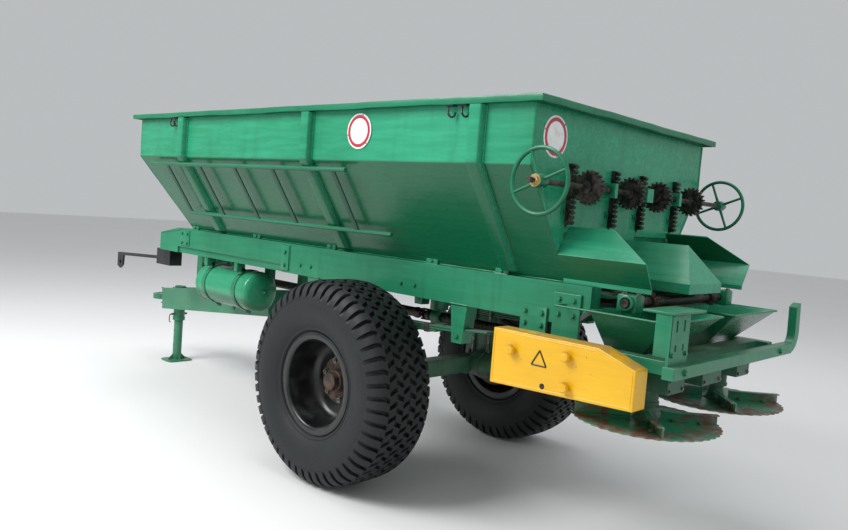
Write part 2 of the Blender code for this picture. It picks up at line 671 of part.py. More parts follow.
end_wall("hopper_front", ((HOPPER_FRONT, WALL_TOP), (HOPPER_FRONT, CREASE_Z), (HOPPER_FRONT_BOTTOM, HOPPER_BOTTOM)))
rear_wall = end_wall("hopper_rear", [(HOPPER_REAR, z) for z in (WALL_TOP, CREASE_Z, HOPPER_BOTTOM)])
for word, side in SIDES:
    doorway = [(GATE_INNER_X + DOORWAY_MARGIN, HOPPER_BOTTOM - 0.01), (GATE_INNER_X + DOORWAY_MARGIN, DOORWAY_TOP),
               (GATE_OUTER_X - DOORWAY_MARGIN, DOORWAY_TOP), (GATE_OUTER_X - DOORWAY_MARGIN, DOORWAY_TOP - 0.080),
               (BOTTOM_HALF_WIDTH - 0.040, HOPPER_BOTTOM - 0.01)]
    cut(rear_wall, plate("doorway", "Y", mirrored_pairs(doorway, side), HOPPER_REAR - 0.05, HOPPER_REAR + 0.05))
    for x in TOOTHED_BAR_X:
        cut(rear_wall, box("bar_slot", both((x - SLOT_WIDTH / 2, x + SLOT_WIDTH / 2), side),
                           (HOPPER_REAR - 0.05, HOPPER_REAR + 0.05),
                           (TOOTHED_BAR_BOTTOM - 0.010, TOOTHED_BAR_BOTTOM + LUG_HEIGHT + GATE_TRAVEL + 0.010)))

for place in (-BEARING_X, 0.0, BEARING_X):
    half = 0.012 if place else 0.030
    joined(rear_wall, box("shaft_bearing", (place - half, place + half), (HOPPER_REAR - 0.001, SHAFT_Y + 0.030),
                          (SHAFT_Z - 0.032, SHAFT_Z + 0.032)))
cut(rear_wall, rod("shaft_bore", (-0.5, SHAFT_Y, SHAFT_Z), (0.5, SHAFT_Y, SHAFT_Z), SHAFT_RADIUS + SHAFT_PLAY))

hopper_rim = box("hopper_rim", (-HOPPER_HALF_WIDTH - RIM_OUT_SIDE, HOPPER_HALF_WIDTH + RIM_OUT_SIDE),
                 (HOPPER_FRONT - RIM_OUT_END, HOPPER_REAR + RIM_OUT_END), (HOPPER_TOP - RIM_HEIGHT, HOPPER_TOP))
cut(hopper_rim, box("rim_opening", (-HOPPER_HALF_WIDTH + RIM_IN, HOPPER_HALF_WIDTH - RIM_IN),
                    (HOPPER_FRONT + RIM_IN, HOPPER_REAR - RIM_IN), (HOPPER_TOP - 0.1, HOPPER_TOP + 0.1)))

slope_lean = (HOPPER_HALF_WIDTH - BOTTOM_HALF_WIDTH) / (CREASE_Z - HOPPER_BOTTOM)
rod_stand = RIB_DEPTH + (RACK_ROD_RADIUS + GAP) * hypot(1, slope_lean)
for word, side in SIDES:
    upper_x, lower_x = side * (slope_x(RACK_TOP_Z) + rod_stand), side * (slope_x(RACK_LOW_Z) + rod_stand)
    rack = rod("slat_rack_" + word, (upper_x, RACK_FRONT, RACK_TOP_Z), (upper_x, RACK_REAR, RACK_TOP_Z),
               RACK_ROD_RADIUS, sides=12)
    joined(rack, rod("rack_low_rod", (lower_x, RACK_LOW_FRONT, RACK_LOW_Z), (lower_x, RACK_REAR + 0.15, RACK_LOW_Z),
                     RACK_ROD_RADIUS, sides=12))
    for place in SLAT_PLACES:
        joined(rack, bar("slat", (upper_x, place, RACK_TOP_Z), (lower_x, place, RACK_LOW_Z),
                         SLAT_WIDTH, SLAT_THICKNESS))

# ---------------------------------------------------------------- gates and handwheels

gate_back = HOPPER_REAR - WALL - GAP
bar_front = HOPPER_REAR + GAP
for word, side in SIDES:
    low_corner = slope_x(GATE_BOTTOM) - WALL - GATE_SIDE_PLAY
    bend_z = HOPPER_BOTTOM + (GATE_OUTER_X + WALL + GATE_SIDE_PLAY - BOTTOM_HALF_WIDTH) / slope_lean
    outline = [(GATE_INNER_X, GATE_BOTTOM), (low_corner, GATE_BOTTOM), (GATE_OUTER_X, bend_z),
               (GATE_OUTER_X, GATE_TOP + 0.020), (GATE_INNER_X, GATE_TOP + 0.020)]
    gate = plate("gate_" + word, "Y", mirrored_pairs(outline, side), gate_back - GATE_THICKNESS, gate_back, DARK_GREEN)
    for x in TOOTHED_BAR_X:
        joined(gate,
               box("gate_lug", both((x - LUG_WIDTH / 2, x + LUG_WIDTH / 2), side),
                   (gate_back - 0.002, bar_front + 0.002), (TOOTHED_BAR_BOTTOM, TOOTHED_BAR_BOTTOM + LUG_HEIGHT)),
               box("toothed_bar", both((x - TOOTHED_BAR_WIDTH / 2, x + TOOTHED_BAR_WIDTH / 2), side),
                   (bar_front, bar_front + TOOTHED_BAR_DEPTH), (TOOTHED_BAR_BOTTOM, TOOTHED_BAR_TOP)))

    shaft_end = side * (HANDWHEEL_X + SHAFT_OUTER_REACH)
    wheel = rod("handwheel_" + word, (side * 0.002, SHAFT_Y, SHAFT_Z), (shaft_end, SHAFT_Y, SHAFT_Z), SHAFT_RADIUS)
    for x in TOOTHED_BAR_X:
        joined(wheel, rod("pinion", (side * (x - 0.012), SHAFT_Y, SHAFT_Z), (side * (x + 0.012), SHAFT_Y, SHAFT_Z),
                          PINION_RADIUS, STEEL, sides=20))
    joined(wheel, rod("wheel_boss", (side * (HANDWHEEL_X - 0.020), SHAFT_Y, SHAFT_Z),
                      (side * (HANDWHEEL_X + 0.020), SHAFT_Y, SHAFT_Z), 0.028))
    joined(wheel, turned("wheel_rim", [(HANDWHEEL_RADIUS - HANDWHEEL_RIM + HANDWHEEL_RIM * sin(pi * i / 4),
                                        HANDWHEEL_RIM * cos(pi * i / 4)) for i in range(8)],
                         (side * HANDWHEEL_X, SHAFT_Y, SHAFT_Z), (side, 0, 0), GREEN, 28, ring=True))
    for spoke in range(4):
        turn = pi / 8 + spoke * pi / 2
        reach = HANDWHEEL_RADIUS - HANDWHEEL_RIM
        joined(wheel, rod("spoke", (side * HANDWHEEL_X, SHAFT_Y, SHAFT_Z),
                          (side * HANDWHEEL_X, SHAFT_Y + reach * cos(turn), SHAFT_Z + reach * sin(turn)), 0.006,
                          sides=8))
    pivot_at(wheel, (0, SHAFT_Y, SHAFT_Z))

# ---------------------------------------------------------------- discharge end


def chute_side(name, side):
    """A bent guide plate behind the hopper's slope, its rear edge raked."""
    start = HOPPER_REAR + GAP
    bottom = FRAME_TOP + GAP
    outer = [(CHUTE_TOP_X, CHUTE_TOP_Z), (CHUTE_EDGE_X, CHUTE_EDGE_Z), (CHUTE_SKIRT_X, 1.200),
             (CHUTE_SKIRT_X, bottom)]
    inner = [(x - CHUTE_WALL * 1.25, z) for x, z in reversed(outer[1:])]
    inner.append((CHUTE_TOP_X - CHUTE_WALL, CHUTE_TOP_Z - CHUTE_WALL))
    made = plate(name, "Y", mirrored_pairs(outer + inner, side), start, HOPPER_REAR + CHUTE_EDGE_REACH)
    rake = [(HOPPER_REAR + CHUTE_TOP_REACH, CHUTE_TOP_Z), (HOPPER_REAR + CHUTE_EDGE_REACH, CHUTE_EDGE_Z),
            (HOPPER_REAR + CHUTE_EDGE_REACH + 0.1, CHUTE_EDGE_Z), (HOPPER_REAR + CHUTE_EDGE_REACH + 0.1, 1.6),
            (HOPPER_REAR + CHUTE_TOP_REACH, 1.6)]
    return cut(made, plate(name + "_rake", "X", rake, *both((0.3, 0.7), side)))


for word, side in SIDES:
    chute_side("side_chute_" + word, side)

start = HOPPER_REAR + GAP
half = DIVIDER_HALF_WIDTH
back = HOPPER_REAR + DIVIDER_BASE_REACH
hull("flow_divider", [(0, start, DIVIDER_RIDGE_Z), (half, start, DIVIDER_EAVE_Z), (-half, start, DIVIDER_EAVE_Z),
                      (half, start, DIVIDER_BOTTOM), (-half, start, DIVIDER_BOTTOM),
                      (0, HOPPER_REAR + DIVIDER_RIDGE_REACH, DIVIDER_RIDGE_Z),
                      (half, back, DIVIDER_EAVE_Z), (-half, back, DIVIDER_EAVE_Z),
                      (half, back, DIVIDER_BOTTOM), (-half, back, DIVIDER_BOTTOM)])

conveyor_radius = (CONVEYOR_TOP - CONVEYOR_BOTTOM) / 2
conveyor_z = (CONVEYOR_TOP + CONVEYOR_BOTTOM) / 2
sweep = [pi * i / 8 - pi / 2 for i in range(9)]
loop = [(CONVEYOR_REAR - conveyor_radius + conveyor_radius * cos(a), conveyor_z + conveyor_radius * sin(a))
        for a in sweep]
loop += [(CONVEYOR_FRONT + conveyor_radius - conveyor_radius * cos(a), conveyor_z - conveyor_radius * sin(a))
         for a in sweep]
conveyor_shaft_y = CONVEYOR_REAR - conveyor_radius
plate("floor_conveyor", "X", loop, *between_beams, CHAIN,
      holes=[circle((conveyor_shaft_y, conveyor_z), CONVEYOR_SHAFT_RADIUS + GAP * 2, 16)])
shaft_reach = BEAM_OUTER_X + 0.020
conveyor_shaft = rod("conveyor_shaft", (-shaft_reach, conveyor_shaft_y, conveyor_z),
                     (shaft_reach, conveyor_shaft_y, conveyor_z), CONVEYOR_SHAFT_RADIUS, DARK_GREEN)
for word, side in SIDES:
    joined(conveyor_shaft,
           box("shaft_block", both((BEAM_INNER_X + 0.010, BEAM_OUTER_X), side),
               (conveyor_shaft_y - 0.045, conveyor_shaft_y + 0.045), (FUNNEL_TOP + GAP, CONVEYOR_TOP)))


def tapered(name, x_top, y_top, z_top, x_low, y_low, z_low):
    """A four-sided funnel shape, made from a cube by moving its corners."""
    shape = bmesh.new()
    bmesh.ops.create_cube(shape, size=2.0)
    for corner in shape.verts:
        i, j = int(corner.co.x > 0), int(corner.co.y > 0)
        upper = corner.co.z > 0
        corner.co = (x_top[i], y_top[j], z_top) if upper else (x_low[i], y_low[j], z_low)
    return from_bmesh(name, shape, GREEN)


def inset(pair, wall):
    return (pair[0] + wall, pair[1] - wall)


def stretched(low_pair, top_pair, share):
    """A pair moved past its lower end along the funnel's taper."""
    return tuple(low - share * (top - low) for low, top in zip(low_pair, top_pair))


for word, side in SIDES:
    top_x, low_x = both(FUNNEL_TOP_X, side), both(FUNNEL_LOW_X, side)
    funnel = tapered("funnel_" + word, top_x, FUNNEL_TOP_Y, FUNNEL_TOP, low_x, FUNNEL_LOW_Y, FUNNEL_BOTTOM)
    hollow_top = inset(top_x, FUNNEL_WALL), inset(FUNNEL_TOP_Y, FUNNEL_WALL)
    hollow_low = inset(low_x, FUNNEL_WALL), inset(FUNNEL_LOW_Y, FUNNEL_WALL)
    reach = 0.010 / (FUNNEL_TOP - FUNNEL_BOTTOM)
    hollow = tapered("funnel_hollow",
                     stretched(hollow_top[0], hollow_low[0], reach), stretched(hollow_top[1], hollow_low[1], reach),
                     FUNNEL_TOP + 0.010,
                     stretched(hollow_low[0], hollow_top[0], reach), stretched(hollow_low[1], hollow_top[1], reach),
                     FUNNEL_BOTTOM - 0.010)
    cut(funnel, hollow)
    joined(funnel, box("funnel_lug", both((0.150, BEAM_INNER_X - 0.070), side), (REAR_MEMBER_Y[1] + GAP, FUNNEL_TOP_Y[0] + 0.0045),
                       (FUNNEL_TOP - 0.060, FUNNEL_TOP - 0.005)))

# ---------------------------------------------------------------- spreading gear

for word, side in SIDES:
    name = "spreader_arm_" + word
    arm_x = both((BEAM_OUTER_X + GAP, SPREADER_ARM_OUTER_X), side)
    joined(box(name, arm_x, (SPREADER_ARM_FRONT, BUMPER_Y[0] - GAP), SPREADER_ARM_Z),
           box(name + "_plate", both((BEAM_OUTER_X + GAP, BEAM_OUTER_X + 0.012), side),
               SPREADER_PLATE_Y, (SPREADER_ARM_Z[1] - 0.02, FRAME_TOP - 0.040)))

bumper = box("rear_bumper", (BUMPER_RIGHT_END, BUMPER_LEFT_END), BUMPER_Y,
             (SPREADER_ARM_Z[0], SPREADER_ARM_Z[0] + BUMPER_HEIGHT))
bend = [pi * i / 8 for i in range(5)]
bend_z = SPREADER_ARM_Z[0] + HORN_BEND
horn_outer = [(BUMPER_RIGHT_END - HORN_BEND * sin(a), bend_z - HORN_BEND * cos(a)) for a in bend]
horn_inner = [(BUMPER_RIGHT_END - 0.040 * sin(a), bend_z - (HORN_BEND - BUMPER_HEIGHT) * cos(a))
              for a in reversed(bend)]
horn = (horn_outer + [(BUMPER_RIGHT_END - HORN_BEND + 0.015, HORN_TOP), (BUMPER_RIGHT_END - 0.030, HORN_TOP - 0.020)]
        + horn_inner + [(BUMPER_RIGHT_END + 0.010, SPREADER_ARM_Z[0] + BUMPER_HEIGHT),
                        (BUMPER_RIGHT_END + 0.010, SPREADER_ARM_Z[0])])
joined(bumper, plate("bumper_horn", "Y", horn, BUMPER_Y[0] + 0.005, BUMPER_Y[1] - 0.005))

post = box("rear_post_left", REAR_POST_X, (BUMPER_Y[0] + 0.005, BUMPER_Y[0] + 0.017),
           (SPREADER_ARM_Z[0] + BUMPER_HEIGHT + GAP, REAR_POST_TOP - 0.004))
joined(post,
       box("post_flange", (REAR_POST_X[1] - 0.012, REAR_POST_X[1] - 0.001), (BUMPER_Y[0] - 0.050, BUMPER_Y[0] + 0.016),
           (SPREADER_ARM_Z[0] + BUMPER_HEIGHT + 0.030, REAR_POST_TOP - 0.005)),
       box("post_top", (POST_TOP_INNER_X, REAR_POST_X[1] + 0.005), (POST_TOP_FRONT, BUMPER_Y[0] + 0.030),
           (REAR_POST_TOP - 0.010, REAR_POST_TOP)))

crossbeam = box("disc_drive", (-BEAM_OUTER_X, BEAM_OUTER_X), CROSSBEAM_Y, SPREADER_ARM_Z)
joined(crossbeam,
       box("middle_gearbox", (-0.100, 0.100), (GEARBOX_FRONT, CROSSBEAM_Y[1]), (GEARBOX_BOTTOM, SPREADER_ARM_Z[0] + 0.010)),
       rod("cross_drive", (-DISC_X, CROSSBEAM_Y[0], DRIVE_Z), (DISC_X, CROSSBEAM_Y[0], DRIVE_Z), 0.026))
for word, side in SIDES:
    joined(crossbeam,
           box("disc_gearbox", both((DISC_X - GEARBOX_HALF_WIDTH, DISC_X + GEARBOX_HALF_WIDTH), side),
               (GEARBOX_FRONT - 0.010, CROSSBEAM_Y[1]),
               (GEARBOX_BOTTOM, FUNNEL_BOTTOM - 0.006)),
           box("gearbox_neck", both((DISC_X - GEARBOX_HALF_WIDTH + 0.015, DISC_X + GEARBOX_HALF_WIDTH - 0.015), side),
               CROSSBEAM_Y,
               (FUNNEL_BOTTOM - 0.020, SPREADER_ARM_Z[0] + 0.010)),
           rod("disc_column", (side * DISC_X, DISC_Y, DISC_Z + 0.070 + GAP), (side * DISC_X, DISC_Y, GEARBOX_BOTTOM + 0.01),
               0.045, sides=20))

    disc = turned("disc_" + word, [(0.0, 0.070), (0.055, 0.070), (0.055, 0.012), (0.080, DISC_THICKNESS),
                                   (DISC_RADIUS, DISC_THICKNESS), (DISC_RADIUS, 0.0), (0.060, 0.0),
                                   (0.060, -0.012), (0.0, -0.012)],
                  (side * DISC_X, DISC_Y, DISC_Z), (0, 0, 1), GREEN, DISC_STEPS)
    for vane in range(VANE_COUNT):
        turn = 2 * pi * vane / VANE_COUNT + pi / 5
        root, tip = 0.045, DISC_RADIUS - 0.012
        joined(disc, bar("vane", (side * DISC_X + root * cos(turn), DISC_Y + root * sin(turn), DISC_Z + VANE_HEIGHT / 2 + 0.004),
                         (side * DISC_X + tip * cos(turn), DISC_Y + tip * sin(turn), DISC_Z + VANE_HEIGHT / 2 + 0.004),
                         0.006, VANE_HEIGHT))

drive_shaft = rod("drive_shaft", (0, DRIVE_FRONT, DRIVE_Z), (0, GEARBOX_FRONT - GAP, DRIVE_Z), DRIVE_RADIUS, DARK_GREEN)
for y_low, y_high in ((FRAME_FRONT + 0.010, FRAME_FRONT + 0.070), (-0.030, 0.030)):
    joined(drive_shaft, box("shaft_hanger", (-0.050, 0.050), (y_low, y_high), (DRIVE_Z - 0.050, FRAME_BOTTOM - GAP)))

plate("chain_guard", "X", [(GUARD_FRONT, GUARD_BOTTOM), (GUARD_REAR, GUARD_REAR_BOTTOM),
                                   (GUARD_REAR, GUARD_REAR_TOP), (GUARD_SLOPE_START, GUARD_TOP),
                                   (GUARD_FRONT, GUARD_TOP)], *GUARD_X, YELLOW)
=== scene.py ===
from math import cos, hypot, pi, radians, sin

import bmesh
import bpy
import numpy as np
from mathutils import Matrix, Vector


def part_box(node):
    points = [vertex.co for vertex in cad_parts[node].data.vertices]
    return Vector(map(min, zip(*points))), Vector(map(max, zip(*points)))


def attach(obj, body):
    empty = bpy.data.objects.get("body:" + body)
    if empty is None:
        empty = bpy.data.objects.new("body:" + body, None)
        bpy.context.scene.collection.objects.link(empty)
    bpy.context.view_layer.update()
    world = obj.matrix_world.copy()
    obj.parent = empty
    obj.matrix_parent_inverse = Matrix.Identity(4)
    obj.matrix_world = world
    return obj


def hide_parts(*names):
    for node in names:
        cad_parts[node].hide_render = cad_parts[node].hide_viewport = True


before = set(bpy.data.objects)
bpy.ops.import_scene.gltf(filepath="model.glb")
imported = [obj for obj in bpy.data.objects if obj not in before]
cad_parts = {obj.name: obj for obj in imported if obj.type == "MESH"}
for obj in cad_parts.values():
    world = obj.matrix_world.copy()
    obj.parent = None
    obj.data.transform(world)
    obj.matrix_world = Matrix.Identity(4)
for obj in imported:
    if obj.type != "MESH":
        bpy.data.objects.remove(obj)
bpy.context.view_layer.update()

# ---------------------------------------------------------------- camera, floor and light
# The machine stands on a plain pale floor in soft studio light, seen from behind its left corner.
# The camera looks a little down and leans a few degrees, as a hand-held one does.

camera_place = Vector((3.379, 3.752, 1.454))
camera_yaw, camera_pitch, camera_roll = radians(47.036), radians(-4.134), radians(4.519)
level = Vector((-sin(camera_yaw), -cos(camera_yaw), 0))
ahead = level * cos(camera_pitch) + Vector((0, 0, sin(camera_pitch)))
across = level.cross(Vector((0, 0, 1)))
upward = across.cross(ahead)
camera_right = across * cos(camera_roll) + upward * sin(camera_roll)
camera_up = upward * cos(camera_roll) - across * sin(camera_roll)
camera = bpy.data.objects.new("camera", bpy.data.cameras.new("camera"))
camera.data.lens = 32.70
camera.data.sensor_width = 36.0
camera.matrix_world = Matrix.Translation(camera_place) @ Matrix(
    (camera_right, camera_up, -ahead)).transposed().to_4x4()
bpy.context.collection.objects.link(camera)
bpy.context.scene.camera = camera
bpy.context.scene.view_settings.view_transform = "Standard"


class Wire:
    """One value in a material's node tree. A sum on wires adds its Math nodes to the tree."""

    def __init__(self, tree, socket=None):
        self.tree, self.socket = tree, socket

    def node(self, kind, settings=None, inputs=None, output=0):
        """Adds any node: its settings first, then the values or wires of its sockets."""
        made = self.tree.nodes.new("ShaderNode" + kind)
        for key, value in (settings or {}).items():
            setattr(made, key, value)
        for key, value in (inputs or {}).items():
            if isinstance(value, Wire):
                self.tree.links.new(value.socket, made.inputs[key])
            else:
                made.inputs[key].default_value = value
        return Wire(self.tree, made.outputs[output])

    def sum(self, operation, first, second=0.0):
        return self.node("Math", {"operation": operation}, {0: first, 1: second})

    def __add__(self, other):
        return self.sum("ADD", self, other)

    def __sub__(self, other):
        return self.sum("SUBTRACT", self, other)

    def __rsub__(self, other):
        return self.sum("SUBTRACT", other, self)

    def __mul__(self, other):
        return self.sum("MULTIPLY", self, other)

    __radd__, __rmul__ = __add__, __mul__

    def step(self, low, high):
        """0 below low, 1 above high, with a soft edge between them."""
        return self.node("MapRange", {"interpolation_type": "SMOOTHSTEP"},
                         {"Value": self, "From Min": low, "From Max": high})

    def noise(self, scale, detail=3.0, rough=0.5, stretch=(1, 1, 1)):
        """Smooth noise over the machine, its grain made finer along each axis by stretch."""
        place = self.node("Mapping", None, {"Vector": self, "Scale": stretch})
        return self.node("TexNoise", None, {"Vector": place, "Scale": scale, "Detail": detail,
                                            "Roughness": rough})

    def part(self, axis):
        """One number of a vector: 0, 1 or 2 for x, y or z."""
        return self.node("SeparateXYZ", None, {0: self}, axis)

    def away_from(self, point):
        """Distance of each place from a point."""
        return self.node("VectorMath", {"operation": "DISTANCE"}, {0: self, 1: tuple(point)}, "Value")

    def cells(self, scale):
        """Distance to the nearest of many scattered points."""
        return self.node("TexVoronoi", None, {"Vector": self, "Scale": scale})

    def between(self, first, second):
        """A colour that turns from first to second as this value goes from 0 to 1."""
        return self.node("Mix", {"data_type": "RGBA"}, {0: self, 6: first, 7: second}, 2)

    def bump(self, height, distance, under=None):
        """A normal that follows a height, on top of another normal where there is one."""
        inputs = {"Height": height, "Distance": distance}
        if under:
            inputs["Normal"] = under
        return self.node("Bump", None, inputs)


def rgb(red, green, blue):
    return (red, green, blue, 1.0)


def coating(name, **constants):
    """A new material: the material, its shader, and a wire that carries Object coordinates."""
    made = bpy.data.materials.new(name)
    made.use_nodes = True
    shader = made.node_tree.nodes["Principled BSDF"]
    for key, value in constants.items():
        shader.inputs[key.replace("_", " ")].default_value = value
    return made, shader, Wire(made.node_tree).node("TexCoord", output="Object")


def feed(shader, **wires):
    """Links wires to the shader's sockets; an underscore stands for a space."""
    for key, wire in wires.items():
        wire.tree.links.new(wire.socket, shader.inputs[key.replace("_", " ")])


floor_mesh = bpy.data.meshes.new("studio_floor")
floor_mesh.from_pydata([(-30, -30, 0), (30, -30, 0), (30, 30, 0), (-30, 30, 0)], [], [(0, 1, 2, 3)])
studio_floor = bpy.data.objects.new("studio_floor", floor_mesh)
bpy.context.collection.objects.link(studio_floor)
pale_floor, floor_shader, floor_place = coating("pale_floor", Roughness=0.9)
feed(floor_shader, Base_Color=floor_place.noise(0.6).between(rgb(0.78, 0.78, 0.78), rgb(0.82, 0.82, 0.82)))
floor_mesh.materials.append(pale_floor)

sky = bpy.data.worlds.new("studio")
sky.use_nodes = True
sky.node_tree.nodes["Background"].inputs["Color"].default_value = rgb(0.95, 0.98, 1.0)
sky.node_tree.nodes["Background"].inputs["Strength"].default_value = 0.52
bpy.context.scene.world = sky
for lamp_name, lamp_place, lamp_size, lamp_power in (
        ("side_softbox", (5.2, -1.6, 5.6), 3.6, 500.0),
        ("rear_softbox", (-1.5, 7.0, 5.5), 4.0, 70.0),
        ("top_softbox", (0.0, 0.5, 7.5), 4.0, 170.0)):
    lamp_data = bpy.data.lights.new(lamp_name, "AREA")
    lamp_data.size, lamp_data.energy = lamp_size, lamp_power
    lamp = bpy.data.objects.new(lamp_name, lamp_data)
    lamp.location = lamp_place
    lamp.rotation_euler = (Vector((0, 0, 0.9)) - lamp.location).to_track_quat("-Z", "Y").to_euler()
    bpy.context.collection.objects.link(lamp)

# ---------------------------------------------------------------- tyres
# Wide flotation tyres of black rubber. Each has wavy cross lugs in staggered columns, cut about
# two centimetres deep, and smooth side walls down to the beads that sit on the rim's flanges.

SIDES = (("left", 1), ("right", -1))
WHEEL_CENTRE = {word: np.mean([tuple(corner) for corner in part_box("tyre_" + word)], axis=0) for word,
                _ in SIDES}
AXLE_Y, AXLE_Z = WHEEL_CENTRE["left"][1:]


def grid_faces(rows, columns, round_rows=False, round_columns=False):
    """Four-sided faces over a grid of points, closed round on itself where asked."""
    ids = np.arange(rows * columns).reshape(rows, columns)
    if round_rows:
        ids = np.vstack([ids, ids[:1]])
    if round_columns:
        ids = np.hstack([ids, ids[:, :1]])
    return np.stack([ids[:-1, :-1], ids[1:, :-1], ids[1:, 1:], ids[:-1, 1:]], axis=-1).reshape(-1, 4)


def shape(points, faces, caps=()):
    """A surface as (points, faces), turned so that its faces look outwards.

    The sum of each face's cone to the middle is the enclosed volume; a negative one means the
    faces look inwards. Caps are single faces that close an end.
    """
    points = np.asarray(points, float).reshape(-1, 3)
    p = points - points.mean(axis=0)
    a, b, c, d = (p[faces[:, k]] for k in range(4))
    volume = np.sum(np.cross(a, b) * c) + np.sum(np.cross(a, c) * d)
    for cap in caps:
        q = p[cap]
        volume += np.sum(np.cross(q[0], q[1:-1]) * q[2:])
    faces = [list(map(int, face)) for face in (*faces, *caps)]
    if volume < 0:
        faces = [face[::-1] for face in faces]
    return points, faces


def together(*shapes):
    """Several shapes as one."""
    count, points, faces = 0, [], []
    for some_points, some_faces in shapes:
        points.append(some_points)
        faces += [[corner + count for corner in face] for face in some_faces]
        count += len(some_points)
    return np.vstack(points), faces


def piece(name, solid, finish, body="chassis", crease=38, replaces=()):
    """A finished piece from a shape: its material, smooth faces, body and CAD nodes."""
    mesh = bpy.data.meshes.new(name)
    mesh.from_pydata(solid[0].tolist(), [], solid[1])
    mesh.materials.append(finish)
    mesh.shade_smooth()
    mesh.set_sharp_from_angle(angle=radians(crease))
    made = bpy.data.objects.new(name, mesh)
    bpy.context.collection.objects.link(made)
    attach(made, body)
    if replaces:
        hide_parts(*replaces)
    return made


def eased_line(points, count):
    """A smooth line through a few points: cubic stretches whose slopes join up."""
    points = np.asarray(points, float)
    padded = np.vstack([2 * points[0] - points[1], points, 2 * points[-1] - points[-2]])
    run = np.linspace(0, len(points) - 1, count)
    k = np.minimum(run.astype(int), len(points) - 2)
    t = (run - k)[:, None]
    a, b, c, d = padded[k], padded[k + 1], padded[k + 2], padded[k + 3]
    return 0.5 * (2 * b + (c - a) * t + (2 * a - 5 * b + 4 * c - d) * t ** 2
                  + (3 * b - a - 3 * c + d) * t ** 3)


LUG_COUNT = 50
LUG_DEPTH = 0.021
LUG_LEAN = 0.30
COLUMN_WIDTH = 0.042
COLUMNS = 3                                   # on each side of the tyre's middle
LUG_EDGE = (0.150, 0.185)                     # foot and top of a groove's wall, in lug pitches
LUG_LINES = np.array([0.0, 0.150, 0.185, 0.315, 0.350, 0.5, 0.650, 0.685, 0.815, 0.850])
TYRE_CROWN = np.array([(0.529, 0.0), (0.529, 0.042), (0.5275, 0.084), (0.522, 0.126)])
TYRE_WALL = np.array([(0.522, 0.126), (0.508, 0.158), (0.482, 0.182), (0.452, 0.1935), (0.436, 0.1965),
                      (0.431, 0.1945), (0.405, 0.1985), (0.370, 0.1975), (0.335, 0.190), (0.305, 0.178),
                      (0.286, 0.166), (0.281, 0.168), (0.272, 0.163), (0.266, 0.152), (0.250, 0.150),
                      (0.2305, 0.150)])


def tyre_shape(centre, side):
    """A tyre: radius and width from its section, less the groove's depth between the lugs.

    Each lug line leans to and fro across the tread as a zigzag, and the grooves of every other
    column sit half a lug further round.
    """
    lows = np.arange(COLUMNS) * COLUMN_WIDTH
    tread_w = (lows[:, None] + np.array([0.0015, COLUMN_WIDTH / 2, COLUMN_WIDTH - 0.0015])).ravel()
    wall = eased_line(TYRE_WALL, 44)
    width = np.concatenate([tread_w, wall[:, 1]])
    radius = np.concatenate([np.interp(tread_w, TYRE_CROWN[:, 1], TYRE_CROWN[:, 0]), wall[:, 0]])
    column = np.concatenate([np.repeat(np.arange(COLUMNS), 3), np.full(len(wall), COLUMNS)])
    radius, width = np.concatenate([radius[::-1], radius]), np.concatenate([width[::-1], -width])
    column = np.concatenate([column[::-1], 1 - column])
    depth = LUG_DEPTH * np.clip((radius - 0.436) / 0.05, 0, 1) ** 0.7
    lean = LUG_LEAN * (np.abs((np.minimum(np.abs(width), 0.15) / COLUMN_WIDTH) % 2 - 1) - 0.5)
    lines = (np.arange(LUG_COUNT)[:, None] + LUG_LINES).reshape(-1, 1)
    groove = (lines + 0.5 * (column % 2)) % 1.0
    groove = np.minimum(groove, 1 - groove)
    carved = np.clip((LUG_EDGE[1] - groove) / (LUG_EDGE[1] - LUG_EDGE[0]), 0, 1) * depth
    turn = (lines + lean) * 2 * pi / LUG_COUNT
    r = radius - carved
    w = width - np.sign(width) * carved * np.where(np.abs(width) > 0.14, 0.35, 0.0)
    points = np.stack([centre[0] + side * w, centre[1] + r * np.cos(turn), centre[2] + r * np.sin(turn)],
                      axis=-1)
    return shape(points, grid_faces(*r.shape, round_rows=True))


rubber, rubber_shader, rubber_place = coating("tread_rubber", Specular_IOR_Level=0.4)
rubber_dust = rubber_place.noise(5.0, 4.0).step(0.42, 0.75)
rubber_scuff = rubber_place.noise(60.0, 4.0, 0.65)
feed(rubber_shader, Base_Color=(rubber_dust * 0.45 + rubber_scuff * 0.35).between(rgb(0.005, 0.007, 0.008),
         rgb(0.026, 0.030, 0.032)), Roughness=rubber_dust * 0.22 + rubber_scuff * 0.2 + 0.46,
     Normal=rubber_place.bump(rubber_scuff, 0.0015))
for word, side in SIDES:
    piece("tyre_tread_" + word, tyre_shape(WHEEL_CENTRE[word], side), rubber, "wheel_" + word,
          30, ("tyre_" + word,))

# ---------------------------------------------------------------- wheel discs and hubs
# Pressed steel wheels in black enamel: rolled flanges hold the beads, the disc sits deep inside,
# and six nuts clamp it to a dusty cast hub with a cap. The brake drum is bolted on behind.


def turned(section, centre, axis, steps, ring=False, lobes=0, lobe_depth=0.0):
    """A section of (radius, height) turned round an axis; its open ends are closed flat.

    With lobes, the radius swells and shrinks that many times round. A ring's section meets itself.
    """
    section = np.asarray(section, float)
    turn = np.arange(steps) * 2 * pi / steps
    radius = section[None, :, 0] * (1 - lobe_depth * (0.5 - 0.5 * np.cos(lobes * turn))[:, None])
    axis = Vector(axis).normalized()
    side = axis.orthogonal().normalized()
    third = axis.cross(side)
    points = (np.asarray(centre, float) + section[None, :, 1:] * np.array(axis)
              + radius[..., None] * (np.cos(turn)[:, None, None] * np.array(side)
                                     + np.sin(turn)[:, None, None] * np.array(third)))
    last = len(section) - 1
    ends = () if ring else [np.arange(steps)[::-1] * (last + 1), np.arange(steps) * (last + 1) + last]
    return shape(points, grid_faces(steps, last + 1, True, ring), ends)


